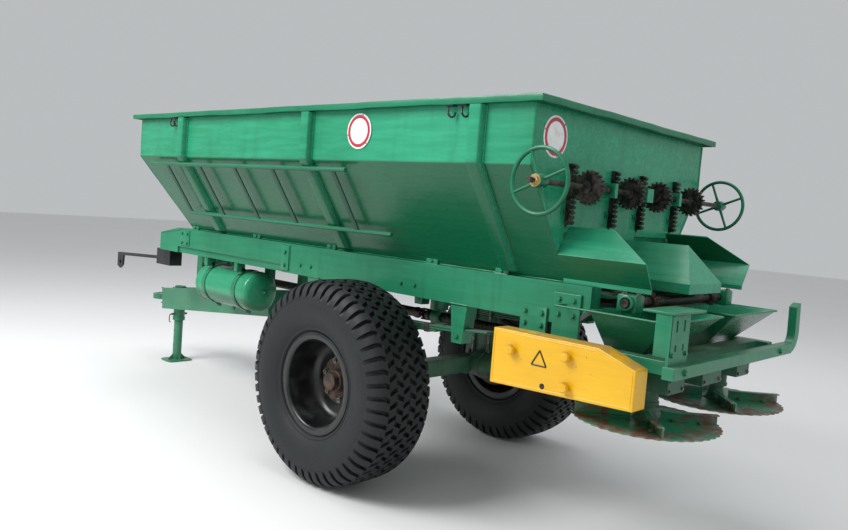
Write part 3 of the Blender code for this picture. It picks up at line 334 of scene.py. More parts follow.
def bolts(places, direction, size):
    """Hexagon heads on round washers at several places, all one shape.

    One head is twelve-point rings: two round ones for the washer, then six-sided ones whose
    corners reach size, and a round chamfer. Every place gets a copy.
    """
    turn = np.arange(12) * pi / 6
    hexagon = np.where(np.arange(12) % 2 == 0, 1.0, cos(pi / 6))
    rings = ((1.30, 0.0, False), (1.30, 0.22, False), (1.0, 0.22, True), (1.0, 0.80, True),
             (0.84, 0.95, False))
    head = np.stack([np.stack([r * (hexagon if six else 1.0) * np.cos(turn),
                               r * (hexagon if six else 1.0) * np.sin(turn), np.full(12, h)], axis=-1)
                     for r, h, six in rings]) * size
    turn_to = np.array(Vector(direction).to_track_quat("Z", "Y").to_matrix())
    head = head @ turn_to.T
    faces = grid_faces(len(rings), 12, round_columns=True)
    one = shape(head, faces, [np.arange(12)[::-1], np.arange(12) + 12 * (len(rings) - 1)])
    return together(*[(one[0] + np.asarray(place), one[1]) for place in places])


def around(centre, axis, radius, count, start=0.0):
    """Places on a circle round an axis."""
    axis = Vector(axis).normalized()
    side = axis.orthogonal().normalized()
    third = axis.cross(side)
    turn = start + np.arange(count)[:, None] * 2 * pi / count
    return np.asarray(centre) + radius * (np.cos(turn) * np.array(side) + np.sin(turn) * np.array(third))


WHEEL_SECTION = [(0.070, -0.012), (0.120, -0.012), (0.150, -0.020), (0.175, -0.022), (0.196, -0.010),
                 (0.206, 0.008), (0.209, 0.030), (0.211, 0.075), (0.216, 0.118), (0.2215, 0.138),
                 (0.222, 0.150), (0.228, 0.158), (0.240, 0.1605), (0.254, 0.1605), (0.2610, 0.158),
                 (0.2620, 0.153), (0.2590, 0.150), (0.238, 0.149), (0.2298, 0.144), (0.2298, 0.100),
                 (0.214, 0.082), (0.214, -0.082), (0.2298, -0.100), (0.2298, -0.144), (0.238, -0.149),
                 (0.259, -0.150), (0.262, -0.153), (0.261, -0.158), (0.240, -0.1605), (0.226, -0.156),
                 (0.222, -0.144), (0.208, -0.080), (0.200, -0.045), (0.180, -0.032), (0.120, -0.022),
                 (0.070, -0.022)]
HUB_SECTION = [(0.012, 0.0655), (0.034, 0.0650), (0.044, 0.0610), (0.047, 0.0540), (0.048, 0.0300),
               (0.056, 0.0270), (0.057, 0.0060), (0.064, -0.0050), (0.122, -0.0050), (0.124, -0.0110),
               (0.060, -0.0120)]
DRUM_SECTION = [(0.060, -0.024), (0.150, -0.024), (0.166, -0.036), (0.1695, -0.050), (0.164, -0.056),
                (0.164, -0.092), (0.1695, -0.098), (0.1695, -0.112), (0.164, -0.118), (0.164, -0.150),
                (0.1700, -0.156), (0.1700, -0.184), (0.120, -0.185), (0.090, -0.190), (0.088, -0.1995),
                (0.050, -0.1998)]

wheel_black, black_shader, black_place = coating("wheel_black", Coat_Weight=0.15, Coat_Roughness=0.25)
black_dust = black_place.noise(9.0, 4.0).step(0.40, 0.72)
feed(black_shader,
     Base_Color=black_dust.between(rgb(0.004, 0.005, 0.006), rgb(0.028, 0.028, 0.027)),
     Roughness=black_dust * 0.30 + 0.32,
     Normal=black_place.bump(black_place.noise(45.0), 0.0008))
hub_iron, iron_shader, iron_place = coating("hub_iron", Metallic=0.25)
iron_rust = iron_place.noise(22.0, 5.0, 0.65).step(0.38, 0.66)
feed(iron_shader,
     Base_Color=iron_rust.between(rgb(0.030, 0.026, 0.024), rgb(0.135, 0.075, 0.052)),
     Roughness=iron_rust * 0.25 + 0.5,
     Normal=iron_place.bump(iron_place.noise(120.0, 4.0), 0.0012))
bare_steel, steel_shader, steel_place = coating("worn_steel", Metallic=0.8)
steel_grime = steel_place.noise(70.0, 4.0, 0.6).step(0.35, 0.65)
feed(steel_shader,
     Base_Color=steel_grime.between(rgb(0.30, 0.29, 0.27), rgb(0.12, 0.10, 0.08)),
     Roughness=steel_grime * 0.3 + 0.32)
for word, side in SIDES:
    centre, outward, body = WHEEL_CENTRE[word], (side, 0, 0), "wheel_" + word
    piece("wheel_disc_" + word, turned(WHEEL_SECTION, centre, outward, 96, ring=True), wheel_black,
          body, 50, ("rim_" + word,))
    piece("wheel_hub_" + word, turned(HUB_SECTION, centre, outward, 48), hub_iron, body)
    piece("brake_drum_" + word, turned(DRUM_SECTION, centre, outward, 72), hub_iron, body)
    nut_ring = around(centre + np.array([side * -0.005, 0, 0]), outward, 0.1025, 6)
    studs = [turned([(0.006, 0.0), (0.006, 0.020), (0.005, 0.022)], place, outward, 12) for place in nut_ring]
    valve = turned([(0.005, 0.0), (0.005, 0.028), (0.0035, 0.030), (0.0035, 0.040)],
                   centre + np.array([side * 0.020, 0.196, 0.035]), (side, -0.3, 0), 12)
    piece("wheel_nuts_" + word, together(bolts(nut_ring, outward, 0.016), *studs, valve), bare_steel,
          body)

# ---------------------------------------------------------------- axle, springs and brakes
# A square axle tube carries tall welded saddles. Four curved leaves sit on each saddle under
# U-bolts, and a round brake cylinder is bolted on behind the tube at each side.


def enamel(name, deep, pale, gloss=0.30, dirt=0.35, wear=0.5):
    """Brushed machine enamel from a deep tone to a pale one.

    Long brush strokes and slow fading change the tone. Stains run down, dust gathers low and on
    upward faces, and small chips show brown primer. Faces turned down get a darker tone, which is
    painted shade. The sheet under it is a little wavy.
    """
    finish, shader, place = coating(name, Coat_Weight=0.10, Coat_Roughness=0.14, Specular_IOR_Level=0.36)
    fade = place.noise(0.9, 3.0).step(0.30, 0.70)
    blotch = place.noise(6.0, 5.0, 0.62).step(0.36, 0.70)
    strokes = place.noise(3.4, 4.0, 0.6, (11, 1.0, 11))
    runs = place.noise(2.4, 4.0, 0.6, (6, 6, 0.7)).step(0.50, 0.78)
    upward_face = place.node("NewGeometry", output="Normal").part(2).step(0.55, 0.95)
    low = 1 - place.part(2).step(0.35, 1.25)
    dust = (low * 0.55 + upward_face * 0.65) * (blotch * 0.7 + 0.3) * dirt
    chips = (1 - place.cells(26.0).step(0.05, 0.11)) * place.noise(3.0, 2.0).step(0.56, 0.62) * wear
    tone = (fade * 0.6 + strokes.step(0.25, 0.75) * 0.4).between(deep, pale)
    tone = (runs * dirt * 0.8).between(tone, rgb(*(0.45 * channel for channel in deep[:3])))
    # painted shade: faces turned down are darkened towards a deep green, standing in for the shade under them
    clear_of_painted_shade = place.node("NewGeometry", output="Normal").part(2).step(-0.50, -0.10)
    tone = clear_of_painted_shade.between(rgb(0.004, 0.55 * deep[1], 0.50 * deep[2]), tone)
    tone = dust.between(tone, rgb(0.27, 0.29, 0.22))
    tone = chips.between(tone, rgb(0.115, 0.042, 0.026))
    wavy = place.bump(place.noise(2.6, 2.0), 0.010)
    feed(shader, Base_Color=tone,
         Roughness=strokes * 0.10 + dust * 0.35 + chips * 0.35 + (gloss - 0.04),
         Normal=place.bump(strokes * 0.6 + blotch * 0.4 - chips * 0.8, 0.0012, wavy))
    return finish


green = enamel("green_enamel", rgb(0.005, 0.135, 0.062), rgb(0.016, 0.235, 0.118))
dull_green = enamel("dull_green_enamel", rgb(0.006, 0.085, 0.042), rgb(0.012, 0.150, 0.075), 0.42, 0.6, 0.8)


def slab(outline, axis, low, high, edge=0.0025):
    """A flat outline with thickness along one axis; both its faces have rounded edges.

    The outline's pairs are (y, z) across x, (x, z) across y and (x, y) across z. Each face's
    corners move in along the bisector of their two sides, so every side moves in by edge.
    """
    flat = np.asarray(outline, float)
    ahead, behind = np.roll(flat, -1, axis=0) - flat, flat - np.roll(flat, 1, axis=0)
    ahead /= np.linalg.norm(ahead, axis=1)[:, None]
    behind /= np.linalg.norm(behind, axis=1)[:, None]
    area = np.sum(flat[:, 0] * np.roll(flat[:, 1], -1) - np.roll(flat[:, 0], -1) * flat[:, 1])
    turn = np.sign(area)
    n1, n2 = (np.stack([-v[:, 1], v[:, 0]], axis=-1) * turn for v in (behind, ahead))
    inward = (n1 + n2) / np.maximum(1 + np.sum(n1 * n2, axis=1), 0.25)[:, None]
    levels = ((1.0, low), (0.3, low + 0.3 * edge), (0.0, low + edge), (0.0, high - edge),
              (0.3, high - 0.3 * edge), (1.0, high))
    rings = [np.column_stack([flat + inward * edge * share, np.full(len(flat), level)]) for share,
             level in levels]
    points = np.array(rings)
    order = {"x": (2, 0, 1), "y": (0, 2, 1), "z": (0, 1, 2)}[axis]
    points = points[..., order]
    count = len(flat)
    return shape(points, grid_faces(len(levels), count, round_columns=True),
                 [np.arange(count)[::-1], np.arange(count) + (len(levels) - 1) * count])


def block(low, high, edge=0.004):
    """A box between two corners with rounded edges."""
    (x0, y0, z0), (x1, y1, z1) = np.minimum(low, high), np.maximum(low, high)
    cut = min(edge, 0.45 * (x1 - x0), 0.45 * (y1 - y0), 0.45 * (z1 - z0))
    outline = [(x0 + cut, y0), (x1 - cut, y0), (x1 - 0.3 * cut, y0 + 0.3 * cut), (x1, y0 + cut),
               (x1, y1 - cut), (x1 - 0.3 * cut, y1 - 0.3 * cut), (x1 - cut, y1), (x0 + cut, y1),
               (x0 + 0.3 * cut, y1 - 0.3 * cut), (x0, y1 - cut), (x0, y0 + cut),
               (x0 + 0.3 * cut, y0 + 0.3 * cut)]
    return slab(outline, "z", z0, z1, cut)


def carried(section, path, upright=(0, 0, 1), closed=False, swell=None):
    """A closed section of (sideways, upwards) pairs carried along a path.

    At each point the section stands square to the path, its upward side as near upright as it
    can be. Swell scales the section along the way. Open ends are closed flat.
    """
    path = np.asarray(path, float)
    section = np.asarray(section, float)
    if closed:
        along = np.roll(path, -1, axis=0) - np.roll(path, 1, axis=0)
    else:
        along = np.gradient(path, axis=0)
    along /= np.linalg.norm(along, axis=1)[:, None]
    sideways = np.cross(along, np.asarray(upright, float))
    sideways /= np.linalg.norm(sideways, axis=1)[:, None]
    up = np.cross(sideways, along)
    scale = np.ones(len(path)) if swell is None else swell
    points = (path[:, None] + scale[:, None, None] * (section[None, :, :1] * sideways[:, None]
                                                      + section[None, :, 1:] * up[:, None]))
    count, last = len(section), len(path) - 1
    ends = () if closed else [np.arange(count)[::-1], np.arange(count) + last * count]
    return shape(points, grid_faces(len(path), count, closed, True), ends)


def ring(radius, sides=12):
    """The corners of a round section."""
    turn = np.arange(sides) * 2 * pi / sides
    return np.stack([radius * np.cos(turn), radius * np.sin(turn)], axis=-1)


def rod(start, end, radius, sides=20, edge=0.002):
    """A straight round bar with eased ends."""
    start, end = np.asarray(start, float), np.asarray(end, float)
    length = np.linalg.norm(end - start)
    return turned([(radius - edge, 0.0), (radius, edge), (radius, length - edge), (radius - edge, length)],
                  start, end - start, sides)


def weld(start, end, size=0.006):
    """A weld bead: a half-sunk round bar with a ripple every nine millimetres."""
    start, end = np.asarray(start, float), np.asarray(end, float)
    length = np.linalg.norm(end - start)
    along = np.linspace(0, 1, max(4, int(length / 0.0045)))
    path = start + (end - start) * along[:, None]
    swell = (1 + 0.16 * np.sin(along * length * 2 * pi / 0.009)
             + 0.10 * np.sin(along * length * 31 + start[1] * 50))
    upright = (0, 0, 1) if abs((end - start)[2]) < 0.7 * length else (0, 1, 0)
    return carried(ring(size, 6), path, upright, swell=swell)


def u_bolt(centre, half_x, low, high, radius=0.008):
    """A U-bolt over a spring: up one leg, across in a tight bend and down the other."""
    x, y = centre
    corner = 0.014
    bend = np.linspace(0, pi / 2, 6)
    left = np.column_stack([x - half_x + corner * (1 - np.cos(bend)), high - corner + corner * np.sin(bend)])
    right = np.column_stack([2 * x - left[::-1, 0], left[::-1, 1]])
    flat = np.vstack([[(x - half_x, low)], left, right, [(x + half_x, low)]])
    path = np.column_stack([flat[:, 0], np.full(len(flat), y), flat[:, 1]])
    return carried(ring(radius, 10), path, (0, 1, 0))


spring_low, spring_high = (np.array(corner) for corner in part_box("leaf_spring_left"))
SPRING_X = (spring_low[0] + spring_high[0]) / 2
SPRING_HALF = (spring_high[1] - spring_low[1]) / 2
SPRING_RISE = 0.030
LEAF = 0.012
LEAVES = 4
SPRING_CREST = spring_high[2] - SPRING_RISE
SPRING_SEAT = SPRING_CREST - LEAVES * LEAF


def leaf_shape(x, number):
    """One leaf: a flat bar whose height rises with the square of its distance from the axle."""
    half = SPRING_HALF * (1 - 0.22 * number)
    run = np.linspace(-half, half, 31)
    height = SPRING_CREST + SPRING_RISE * (run / SPRING_HALF) ** 2 - (number + 0.5) * LEAF
    path = np.column_stack([np.full(31, x), AXLE_Y + run, height])
    wide, thick = 0.030, LEAF / 2 - 0.0007
    section = [(-wide, -0.6 * thick), (-wide + 0.002, -thick), (wide - 0.002, -thick), (wide, -0.6 * thick),
               (wide, 0.6 * thick), (wide - 0.002, thick), (-wide + 0.002, thick), (-wide, 0.6 * thick)]
    return carried(section, path)


axle_parts = [block((-0.499, AXLE_Y - 0.050, AXLE_Z - 0.050), (0.499, AXLE_Y + 0.050, AXLE_Z + 0.050), 0.009)]
for word, side in SIDES:
    axle_parts += [turned([(0.059, 0.0), (0.060, 0.002), (0.060, 0.064), (0.046, 0.069)],
                          (side * 0.4805, AXLE_Y, AXLE_Z), (side, 0, 0), 40),
                   block((side * (SPRING_X - 0.030), AXLE_Y - 0.070, AXLE_Z + 0.046),
                         (side * (SPRING_X + 0.030), AXLE_Y + 0.070, SPRING_SEAT - 0.001), 0.006),
                   block((side * (SPRING_X - 0.048), AXLE_Y - 0.078, AXLE_Z - 0.066),
                         (side * (SPRING_X + 0.048), AXLE_Y + 0.078, AXLE_Z - 0.0505), 0.003),
                   slab([(AXLE_Y - 0.150, AXLE_Z + 0.052), (AXLE_Y - 0.072, AXLE_Z + 0.052),
                         (AXLE_Y - 0.072, SPRING_SEAT - 0.03)], "x", side * SPRING_X - 0.005,
                        side * SPRING_X + 0.005), slab([(AXLE_Y + 0.150, AXLE_Z + 0.052),
                           (AXLE_Y + 0.072, AXLE_Z + 0.052), (AXLE_Y + 0.072, SPRING_SEAT - 0.03)], "x",
                       side * SPRING_X - 0.005, side * SPRING_X + 0.005)]
piece("axle_tube", together(*axle_parts), dull_green, replaces=("axle",))
BRAKE_SECTION = [(0.030, 0.0), (0.060, 0.004), (0.074, 0.018), (0.077, 0.040), (0.0775, 0.078),
                 (0.084, 0.080), (0.084, 0.092), (0.0775, 0.094), (0.077, 0.150), (0.072, 0.172),
                 (0.058, 0.186), (0.030, 0.190)]
for word, side in SIDES:
    brake_at = (side * 0.340, AXLE_Y + 0.022, AXLE_Z)
    piece("brake_cylinder_" + word, together(turned(BRAKE_SECTION, brake_at, (0, 1, 0), 40), turned([(0.014,
                                                         0.0), (0.014, 0.020), (0.009, 0.022),
                                                     (0.009, 0.030)],
                                                 (side * 0.340, AXLE_Y + 0.125, AXLE_Z + 0.074), (0, 0, 1),
                                                 16), block((side * 0.330, AXLE_Y - 0.150, AXLE_Z - 0.082),
                                                 (side * 0.350, AXLE_Y - 0.02, AXLE_Z - 0.056)),
                                             rod((side * 0.340, AXLE_Y - 0.140, AXLE_Z - 0.07),
                                                 (side * 0.560, AXLE_Y - 0.140, AXLE_Z - 0.07), 0.014)),
          dull_green)
    piece("spring_leaves_" + word, together(*(leaf_shape(side * SPRING_X, n) for n in range(LEAVES))),
          dull_green, replaces=("leaf_spring_" + word,))
    clamps = [u_bolt((side * SPRING_X, AXLE_Y + offset), 0.040, AXLE_Z - 0.085, SPRING_CREST + 0.009)
              for offset in (-0.058, 0.058)]
    clamps += [bolts([(side * SPRING_X + x, AXLE_Y + y, AXLE_Z - 0.066)
                      for x in (-0.040, 0.040) for y in (-0.058, 0.058)], (0, 0, -1), 0.013)]
    for band in (-0.36, 0.36):
        crest = SPRING_CREST + SPRING_RISE * (band / SPRING_HALF) ** 2
        clamps.append(carried([(-0.035, -0.040), (0.035, -0.040), (0.035, 0.003), (-0.035, 0.003)],
                              [(side * SPRING_X, AXLE_Y + band - 0.014, crest),
                               (side * SPRING_X, AXLE_Y + band + 0.014, crest)]))
    piece("spring_clamps_" + word, together(*clamps), bare_steel)

# ---------------------------------------------------------------- main frame
# Two deep box beams run the machine's length, tied by cross members. Hangers for the springs,
# a plate for the chain guard, a lower step, small lugs and rows of bolts are welded or bolted on.


def eased(node_name, finish, body="chassis", edge=0.0035):
    """A copy of a CAD plate with its corners merged and its edges rounded by a bevel."""
    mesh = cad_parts[node_name].data.copy()
    form = bmesh.new()
    form.from_mesh(mesh)
    bmesh.ops.remove_doubles(form, verts=form.verts, dist=2e-5)
    bmesh.ops.dissolve_limit(form, angle_limit=radians(0.5), verts=form.verts, edges=form.edges)
    form.to_mesh(mesh)
    form.free()
    mesh.materials.clear()
    mesh.materials.append(finish)
    mesh.shade_smooth()
    mesh.set_sharp_from_angle(angle=radians(25))
    made = bpy.data.objects.new(node_name + "_eased", mesh)
    bpy.context.collection.objects.link(made)
    rounding = made.modifiers.new("edges", "BEVEL")
    rounding.width, rounding.segments, rounding.limit_method = edge, 2, "ANGLE"
    rounding.angle_limit, rounding.harden_normals = radians(25), True
    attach(made, body)
    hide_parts(node_name)
    return made


beam_low, beam_high = (np.array(corner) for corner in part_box("frame_beam_left"))
BEAM_OUTER = 0.500
FRAME_TOP, FRAME_UNDER = beam_high[2], 1.000
FRAME_FRONT = beam_low[1]
for node_name in ("frame_beam_left", "frame_beam_right", "cross_member_front", "cross_member_drawbar",
                  "cross_member_middle", "cross_member_rear"):
    eased(node_name, green)
step_mark = AXLE_Y - 0.880
LUG_PLACES = (-1.95, -1.20, -0.45, 0.35, 0.80)
for word, side in SIDES:
    face = side * BEAM_OUTER
    fittings = [block((face, step_mark - 0.006, FRAME_UNDER + 0.012),
                      (face + side * 0.008, step_mark + 0.070, FRAME_TOP - 0.012)), block((face,
                        FRAME_FRONT + 0.30, FRAME_UNDER + 0.055),
                    (face + side * 0.006, FRAME_FRONT + 0.42, FRAME_TOP - 0.012)), weld((face,
                        FRAME_FRONT + 0.01, FRAME_TOP - 0.052), (face, FRAME_FRONT + 0.30, FRAME_TOP - 0.012),
                    0.004), weld((face, step_mark + 0.074, FRAME_UNDER + 0.010),
                                 (face, step_mark + 0.074, FRAME_TOP - 0.010), 0.004)]
    for place in LUG_PLACES:
        lug_x = side * (BEAM_OUTER - 0.030)
        fittings += [block((lug_x - 0.012, AXLE_Y + place - 0.040, FRAME_TOP - 0.001),
                           (lug_x + 0.012, AXLE_Y + place + 0.040, FRAME_TOP + 0.030)),
                     weld((face - side * 0.016, AXLE_Y + place - 0.040, FRAME_TOP),
                          (face - side * 0.016, AXLE_Y + place + 0.040, FRAME_TOP), 0.004)]
    for end in (-1, 1):
        hang = AXLE_Y + end * 0.570
        fittings += [weld((face, hang - 0.054, FRAME_UNDER + 0.002),
                          (face, hang + 0.054, FRAME_UNDER + 0.002), 0.005),
                     rod((face - side * 0.086, hang, 0.845), (face + side * 0.010, hang, 0.845), 0.011)]
    piece("frame_fittings_" + word, together(*fittings), green)
    heads = [bolts([(face + side * 0.008, step_mark + 0.032, FRAME_UNDER + z) for z in (0.045, 0.125)],
                   (side, 0, 0), 0.011), bolts([(face, AXLE_Y + y, FRAME_UNDER + 0.060)
                                                for y in (-0.70, -0.60, 0.16, 0.26)], (side, 0, 0), 0.010),
             bolts([(face + side * 0.006, FRAME_FRONT + y, FRAME_UNDER + z)
                    for y in (0.325, 0.395) for z in (0.075, 0.145)], (side, 0, 0), 0.010),
             bolts([(side * (BEAM_OUTER - 0.018), AXLE_Y + y, FRAME_TOP + 0.0155) for y in LUG_PLACES],
                   (side, 0, 0), 0.009)]
    if side > 0:
        heads.append(bolts([(face + 0.012, AXLE_Y + y, FRAME_UNDER + z)
                            for y in (0.975, 1.065) for z in (-0.020, 0.035)], (1, 0, 0), 0.011))
    piece("frame_bolts_" + word, together(*heads), green)

# ---------------------------------------------------------------- drawbar, hitch and jack
# Two tall beams run forward under the frame to a solid head with the towing eye. Posts and a
# slanting strut tie them to the frame, and a drop jack with a pin and foot holds up the front.

head_low, head_high = (np.array(corner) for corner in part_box("drawbar_head"))
JACK_Y = (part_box("jack_leg")[0].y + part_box("jack_leg")[1].y) / 2
for node_name in ("drawbar_beam_left", "drawbar_beam_right"):
    eased(node_name, green, edge=0.005)
eased("drawbar_head", green, edge=0.006)
eye_y = head_low[1] + 0.065
eye_bush = turned([(0.0262, 0.0), (0.0262, 0.051), (0.030, 0.0535), (0.038, 0.0535), (0.041, 0.050),
                   (0.041, 0.0035), (0.038, 0.0), (0.030, 0.0)], (0, eye_y, 0.486), (0, 0, 1), 48, ring=True)
piece("towing_eye_bush", eye_bush, bare_steel)
drawbar_parts = [weld((x, head_high[1] - 0.004, z), (x, head_low[1] + 0.170, z), 0.005)
                 for x in (-0.052, 0.052) for z in (0.600, 0.470)]
drawbar_parts += [block((-0.052, AXLE_Y - 2.34, 0.690), (0.052, AXLE_Y - 2.26, 0.700)),
                  block((-0.058, AXLE_Y - 1.90, 0.735), (0.058, AXLE_Y - 1.80, 0.745))]
for x in (-0.055, 0.055):
    drawbar_parts.append(weld((x * 2.4, AXLE_Y - 2.482, 0.66), (x * 2.4, AXLE_Y - 2.482, 0.96), 0.0045))
piece("drawbar_welds", together(*drawbar_parts), green)
piece("drawbar_bolts", together(
    *[bolts([(side * 0.1505, AXLE_Y - 2.20 + y, 0.655 + y * 0.1) for y in (-0.10, 0.06)], (side, 0, 0), 0.012)
      for side in (1, -1)]),
    green)

piece("jack_sleeve", together(turned([(0.0385, 0.000), (0.0385, 0.290), (0.0400, 0.2925), (0.044, 0.2925),
                                      (0.046, 0.290), (0.046, 0.030), (0.0505, 0.028), (0.0505, 0.002),
                                      (0.048, 0.0)], (0, JACK_Y, 0.3475), (0, 0, 1), 48, ring=True),
                              rod((-0.072, JACK_Y, 0.400), (-0.045, JACK_Y, 0.400), 0.009),
                              rod((0.045, JACK_Y, 0.400), (0.072, JACK_Y, 0.400), 0.009),
                              weld((-0.046, JACK_Y - 0.050, 0.602), (0.046, JACK_Y - 0.050, 0.602), 0.005)),
      green, replaces=("jack_tube",))
piece("jack_pin", together(carried(ring(0.0045, 8), [(0.070, JACK_Y, 0.400), (0.082, JACK_Y, 0.398),
                                       (0.088, JACK_Y, 0.388), (0.088, JACK_Y, 0.345), (0.084, JACK_Y, 0.335),
                                       (0.076, JACK_Y, 0.333)], (0, 1, 0))), bare_steel)
foot_low, foot_high = (np.array(corner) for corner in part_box("jack_leg"))
foot_edge = 0.030
foot_outline = [(x * (foot_high[0] - foot_edge * (1 - cos(a))),
                 JACK_Y + y * ((foot_high[1] - foot_low[1]) / 2 - foot_edge * (1 - sin(a)))) for x, y,
                turns in ((1, 1, (0, pi / 4, pi / 2)), (-1, 1, (pi / 2, pi / 4, 0)),
                          (-1, -1, (0, pi / 4, pi / 2)), (1, -1, (pi / 2, pi / 4, 0))) for a in turns]
leg_parts = [slab(foot_outline, "z", 0.0, 0.012, 0.003), turned([(0.0355, 0.0), (0.0360, 0.002),
                     (0.0360, 0.584), (0.0345, 0.587)], (0, JACK_Y, 0.0115), (0, 0, 1), 40)]
for turn in (0, pi / 2, pi, 3 * pi / 2):
    out = np.array([cos(turn), sin(turn)])
    if abs(out[0]) > 0.5:
        leg_parts.append(slab([(out[0] * 0.034, 0.0115), (out[0] * 0.085, 0.0115), (out[0] * 0.034, 0.062)],
                              "y", JACK_Y - 0.004, JACK_Y + 0.004, 0.0015))
    else:
        leg_parts.append(slab([(JACK_Y + out[1] * 0.034, 0.0115), (JACK_Y + out[1] * 0.068, 0.0115),
                               (JACK_Y + out[1] * 0.034, 0.062)], "x", -0.004, 0.004, 0.0015))
piece("jack_leg_foot", together(*leg_parts), green, "jack", replaces=("jack_leg",))
# the holes through the jack leg are black rods: painted shade standing in for the dark inside of each hole
piece("jack_leg_holes_painted_shade", together(*[rod((-0.0364, JACK_Y, z), (0.0364, JACK_Y, z), 0.0075, 14, 0.0003)
                                   for z in (0.135, 0.200, 0.265)]), wheel_black, "jack")

eased("front_support_arm", wheel_black)

# ---------------------------------------------------------------- air tank
# A welded steel tank for the brakes, glossy green, hung outside the drawbar on two straps. It
# has domed ends, a drain tap underneath and fittings at its rear end.

tank_low, tank_high = (np.array(corner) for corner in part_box("air_tank"))
TANK_X, TANK_Z, TANK_RADIUS = 0.355, 0.812, 0.135
tank_length = tank_high[1] - tank_low[1]
dome = np.linspace(0, 1, 9)
dome_radius, dome_height = TANK_RADIUS * np.sin(dome * pi / 2), 0.050 * (1 - np.cos(dome * pi / 2))
near_end = np.column_stack([dome_radius, dome_height])[1:]
far_end = np.column_stack([dome_radius, tank_length - dome_height])[1:][::-1]
seam = [(TANK_RADIUS, 0.060), (TANK_RADIUS + 0.0022, 0.062), (TANK_RADIUS + 0.0022, 0.068),
        (TANK_RADIUS, 0.070)]
seam += [(r, tank_length - h) for r, h in reversed(seam)]
tank_green = enamel("tank_enamel", rgb(0.014, 0.230, 0.105), rgb(0.030, 0.350, 0.185), 0.20, 0.2, 0.3)
piece("air_tank_shell",
      turned(np.vstack([near_end, seam, far_end]), (TANK_X, tank_low[1], TANK_Z), (0, 1, 0), 72), tank_green,
      replaces=("air_tank",))
strap_parts, strap_bolts = [], []
for place in (-1.790, -1.420):
    y = AXLE_Y + place
    strap_parts += [turned([(TANK_RADIUS + 0.0005, -0.020), (TANK_RADIUS + 0.0055, -0.020),
                            (TANK_RADIUS + 0.006, -0.018), (TANK_RADIUS + 0.006, 0.018),
                            (TANK_RADIUS + 0.0055, 0.020), (TANK_RADIUS + 0.0005, 0.020)],
                           (TANK_X, y, TANK_Z), (0, 1, 0), 64, ring=True), block((TANK_X + 0.060, y - 0.020,
                            TANK_Z + 0.110), (TANK_X + 0.090, y + 0.020, FRAME_UNDER - 0.030)),
                    block((TANK_X + 0.060, y - 0.020, FRAME_UNDER - 0.060),
                          (BEAM_OUTER - 0.020, y + 0.020, FRAME_UNDER - 0.0005)), block((TANK_X - 0.012,
                            y - 0.016, TANK_Z - TANK_RADIUS - 0.026),
                        (TANK_X + 0.012, y + 0.016, TANK_Z - TANK_RADIUS + 0.004))]
    strap_bolts.append(bolts([(TANK_X + 0.090, y, TANK_Z + 0.140)], (1, 0, 0), 0.010))
    strap_bolts.append(bolts([(TANK_X + 0.012, y, TANK_Z - TANK_RADIUS - 0.014)], (1, 0, 0), 0.008))
tap_y = AXLE_Y - 1.600
strap_parts.append(turned([(0.014, 0.0), (0.014, 0.014), (0.009, 0.016), (0.009, 0.028), (0.005, 0.030),
                           (0.005, 0.036)], (TANK_X, tap_y, TANK_Z - TANK_RADIUS + 0.004), (0, 0, -1), 16))
strap_parts.append(turned([(0.016, 0.0), (0.016, 0.012), (0.010, 0.014), (0.010, 0.030)],
                          (TANK_X, tank_high[1] - 0.004, TANK_Z), (0, 1, 0), 16))
piece("air_tank_straps", together(*strap_parts), green)
piece("air_tank_bolts", together(*strap_bolts), bare_steel)

# ---------------------------------------------------------------- hopper
# A box welded from five millimetre sheet: upright above a crease, sloping in
# below it. Pressed ribs stiffen the sides, and a turned-out rim runs all round the top.

side_low, side_high = (np.array(corner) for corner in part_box("hopper_side_left"))
rim_low, rim_high = (np.array(corner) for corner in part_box("hopper_rim"))
rear_low = np.array(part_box("hopper_rear")[0])
HOPPER_HALF = 0.800
CREASE_Z = 1.670
HOPPER_FLOOR = side_low[2]
FLOOR_HALF = 0.465
HOPPER_FRONT, HOPPER_REAR = rim_low[1] + 0.060, rear_low[1] + 0.005
HOPPER_FRONT_FLOOR = HOPPER_FRONT + 0.190
WALL_TOP = side_high[2]
WALL = 0.005
RIB_DEPTH = 0.035
RIB_PLACES = (-1.610, -0.320, 0.850)
SLOPE_LEAN = (HOPPER_HALF - FLOOR_HALF) / (CREASE_Z - HOPPER_FLOOR)

panel_green = enamel("panel_enamel", rgb(0.010, 0.205, 0.095), rgb(0.034, 0.370, 0.205), 0.26, 0.30, 0.45)


def slope_x(z):
    """Outer half width of the hopper at a height: upright above the crease, leaning in below."""
    return np.where(z >= CREASE_Z, HOPPER_HALF, FLOOR_HALF + (z - HOPPER_FLOOR) * SLOPE_LEAN)


def sheet(outer, inner):
    """A thin wall from two grids of points, one on each face, closed along all four edges."""
    rows, columns = outer.shape[:2]
    count = rows * columns
    ids = np.arange(count).reshape(rows, columns)
    front = grid_faces(rows, columns)
    rim = np.concatenate([ids[0, :-1], ids[:-1, -1], ids[-1, :0:-1], ids[:0:-1, 0]])
    after = np.roll(rim, -1)
    edge = np.stack([after, rim, rim + count, after + count], axis=-1)
    return shape(np.concatenate([outer.reshape(-1, 3), inner.reshape(-1, 3)]),
                 np.concatenate([front, front[:, ::-1] + count, edge]))


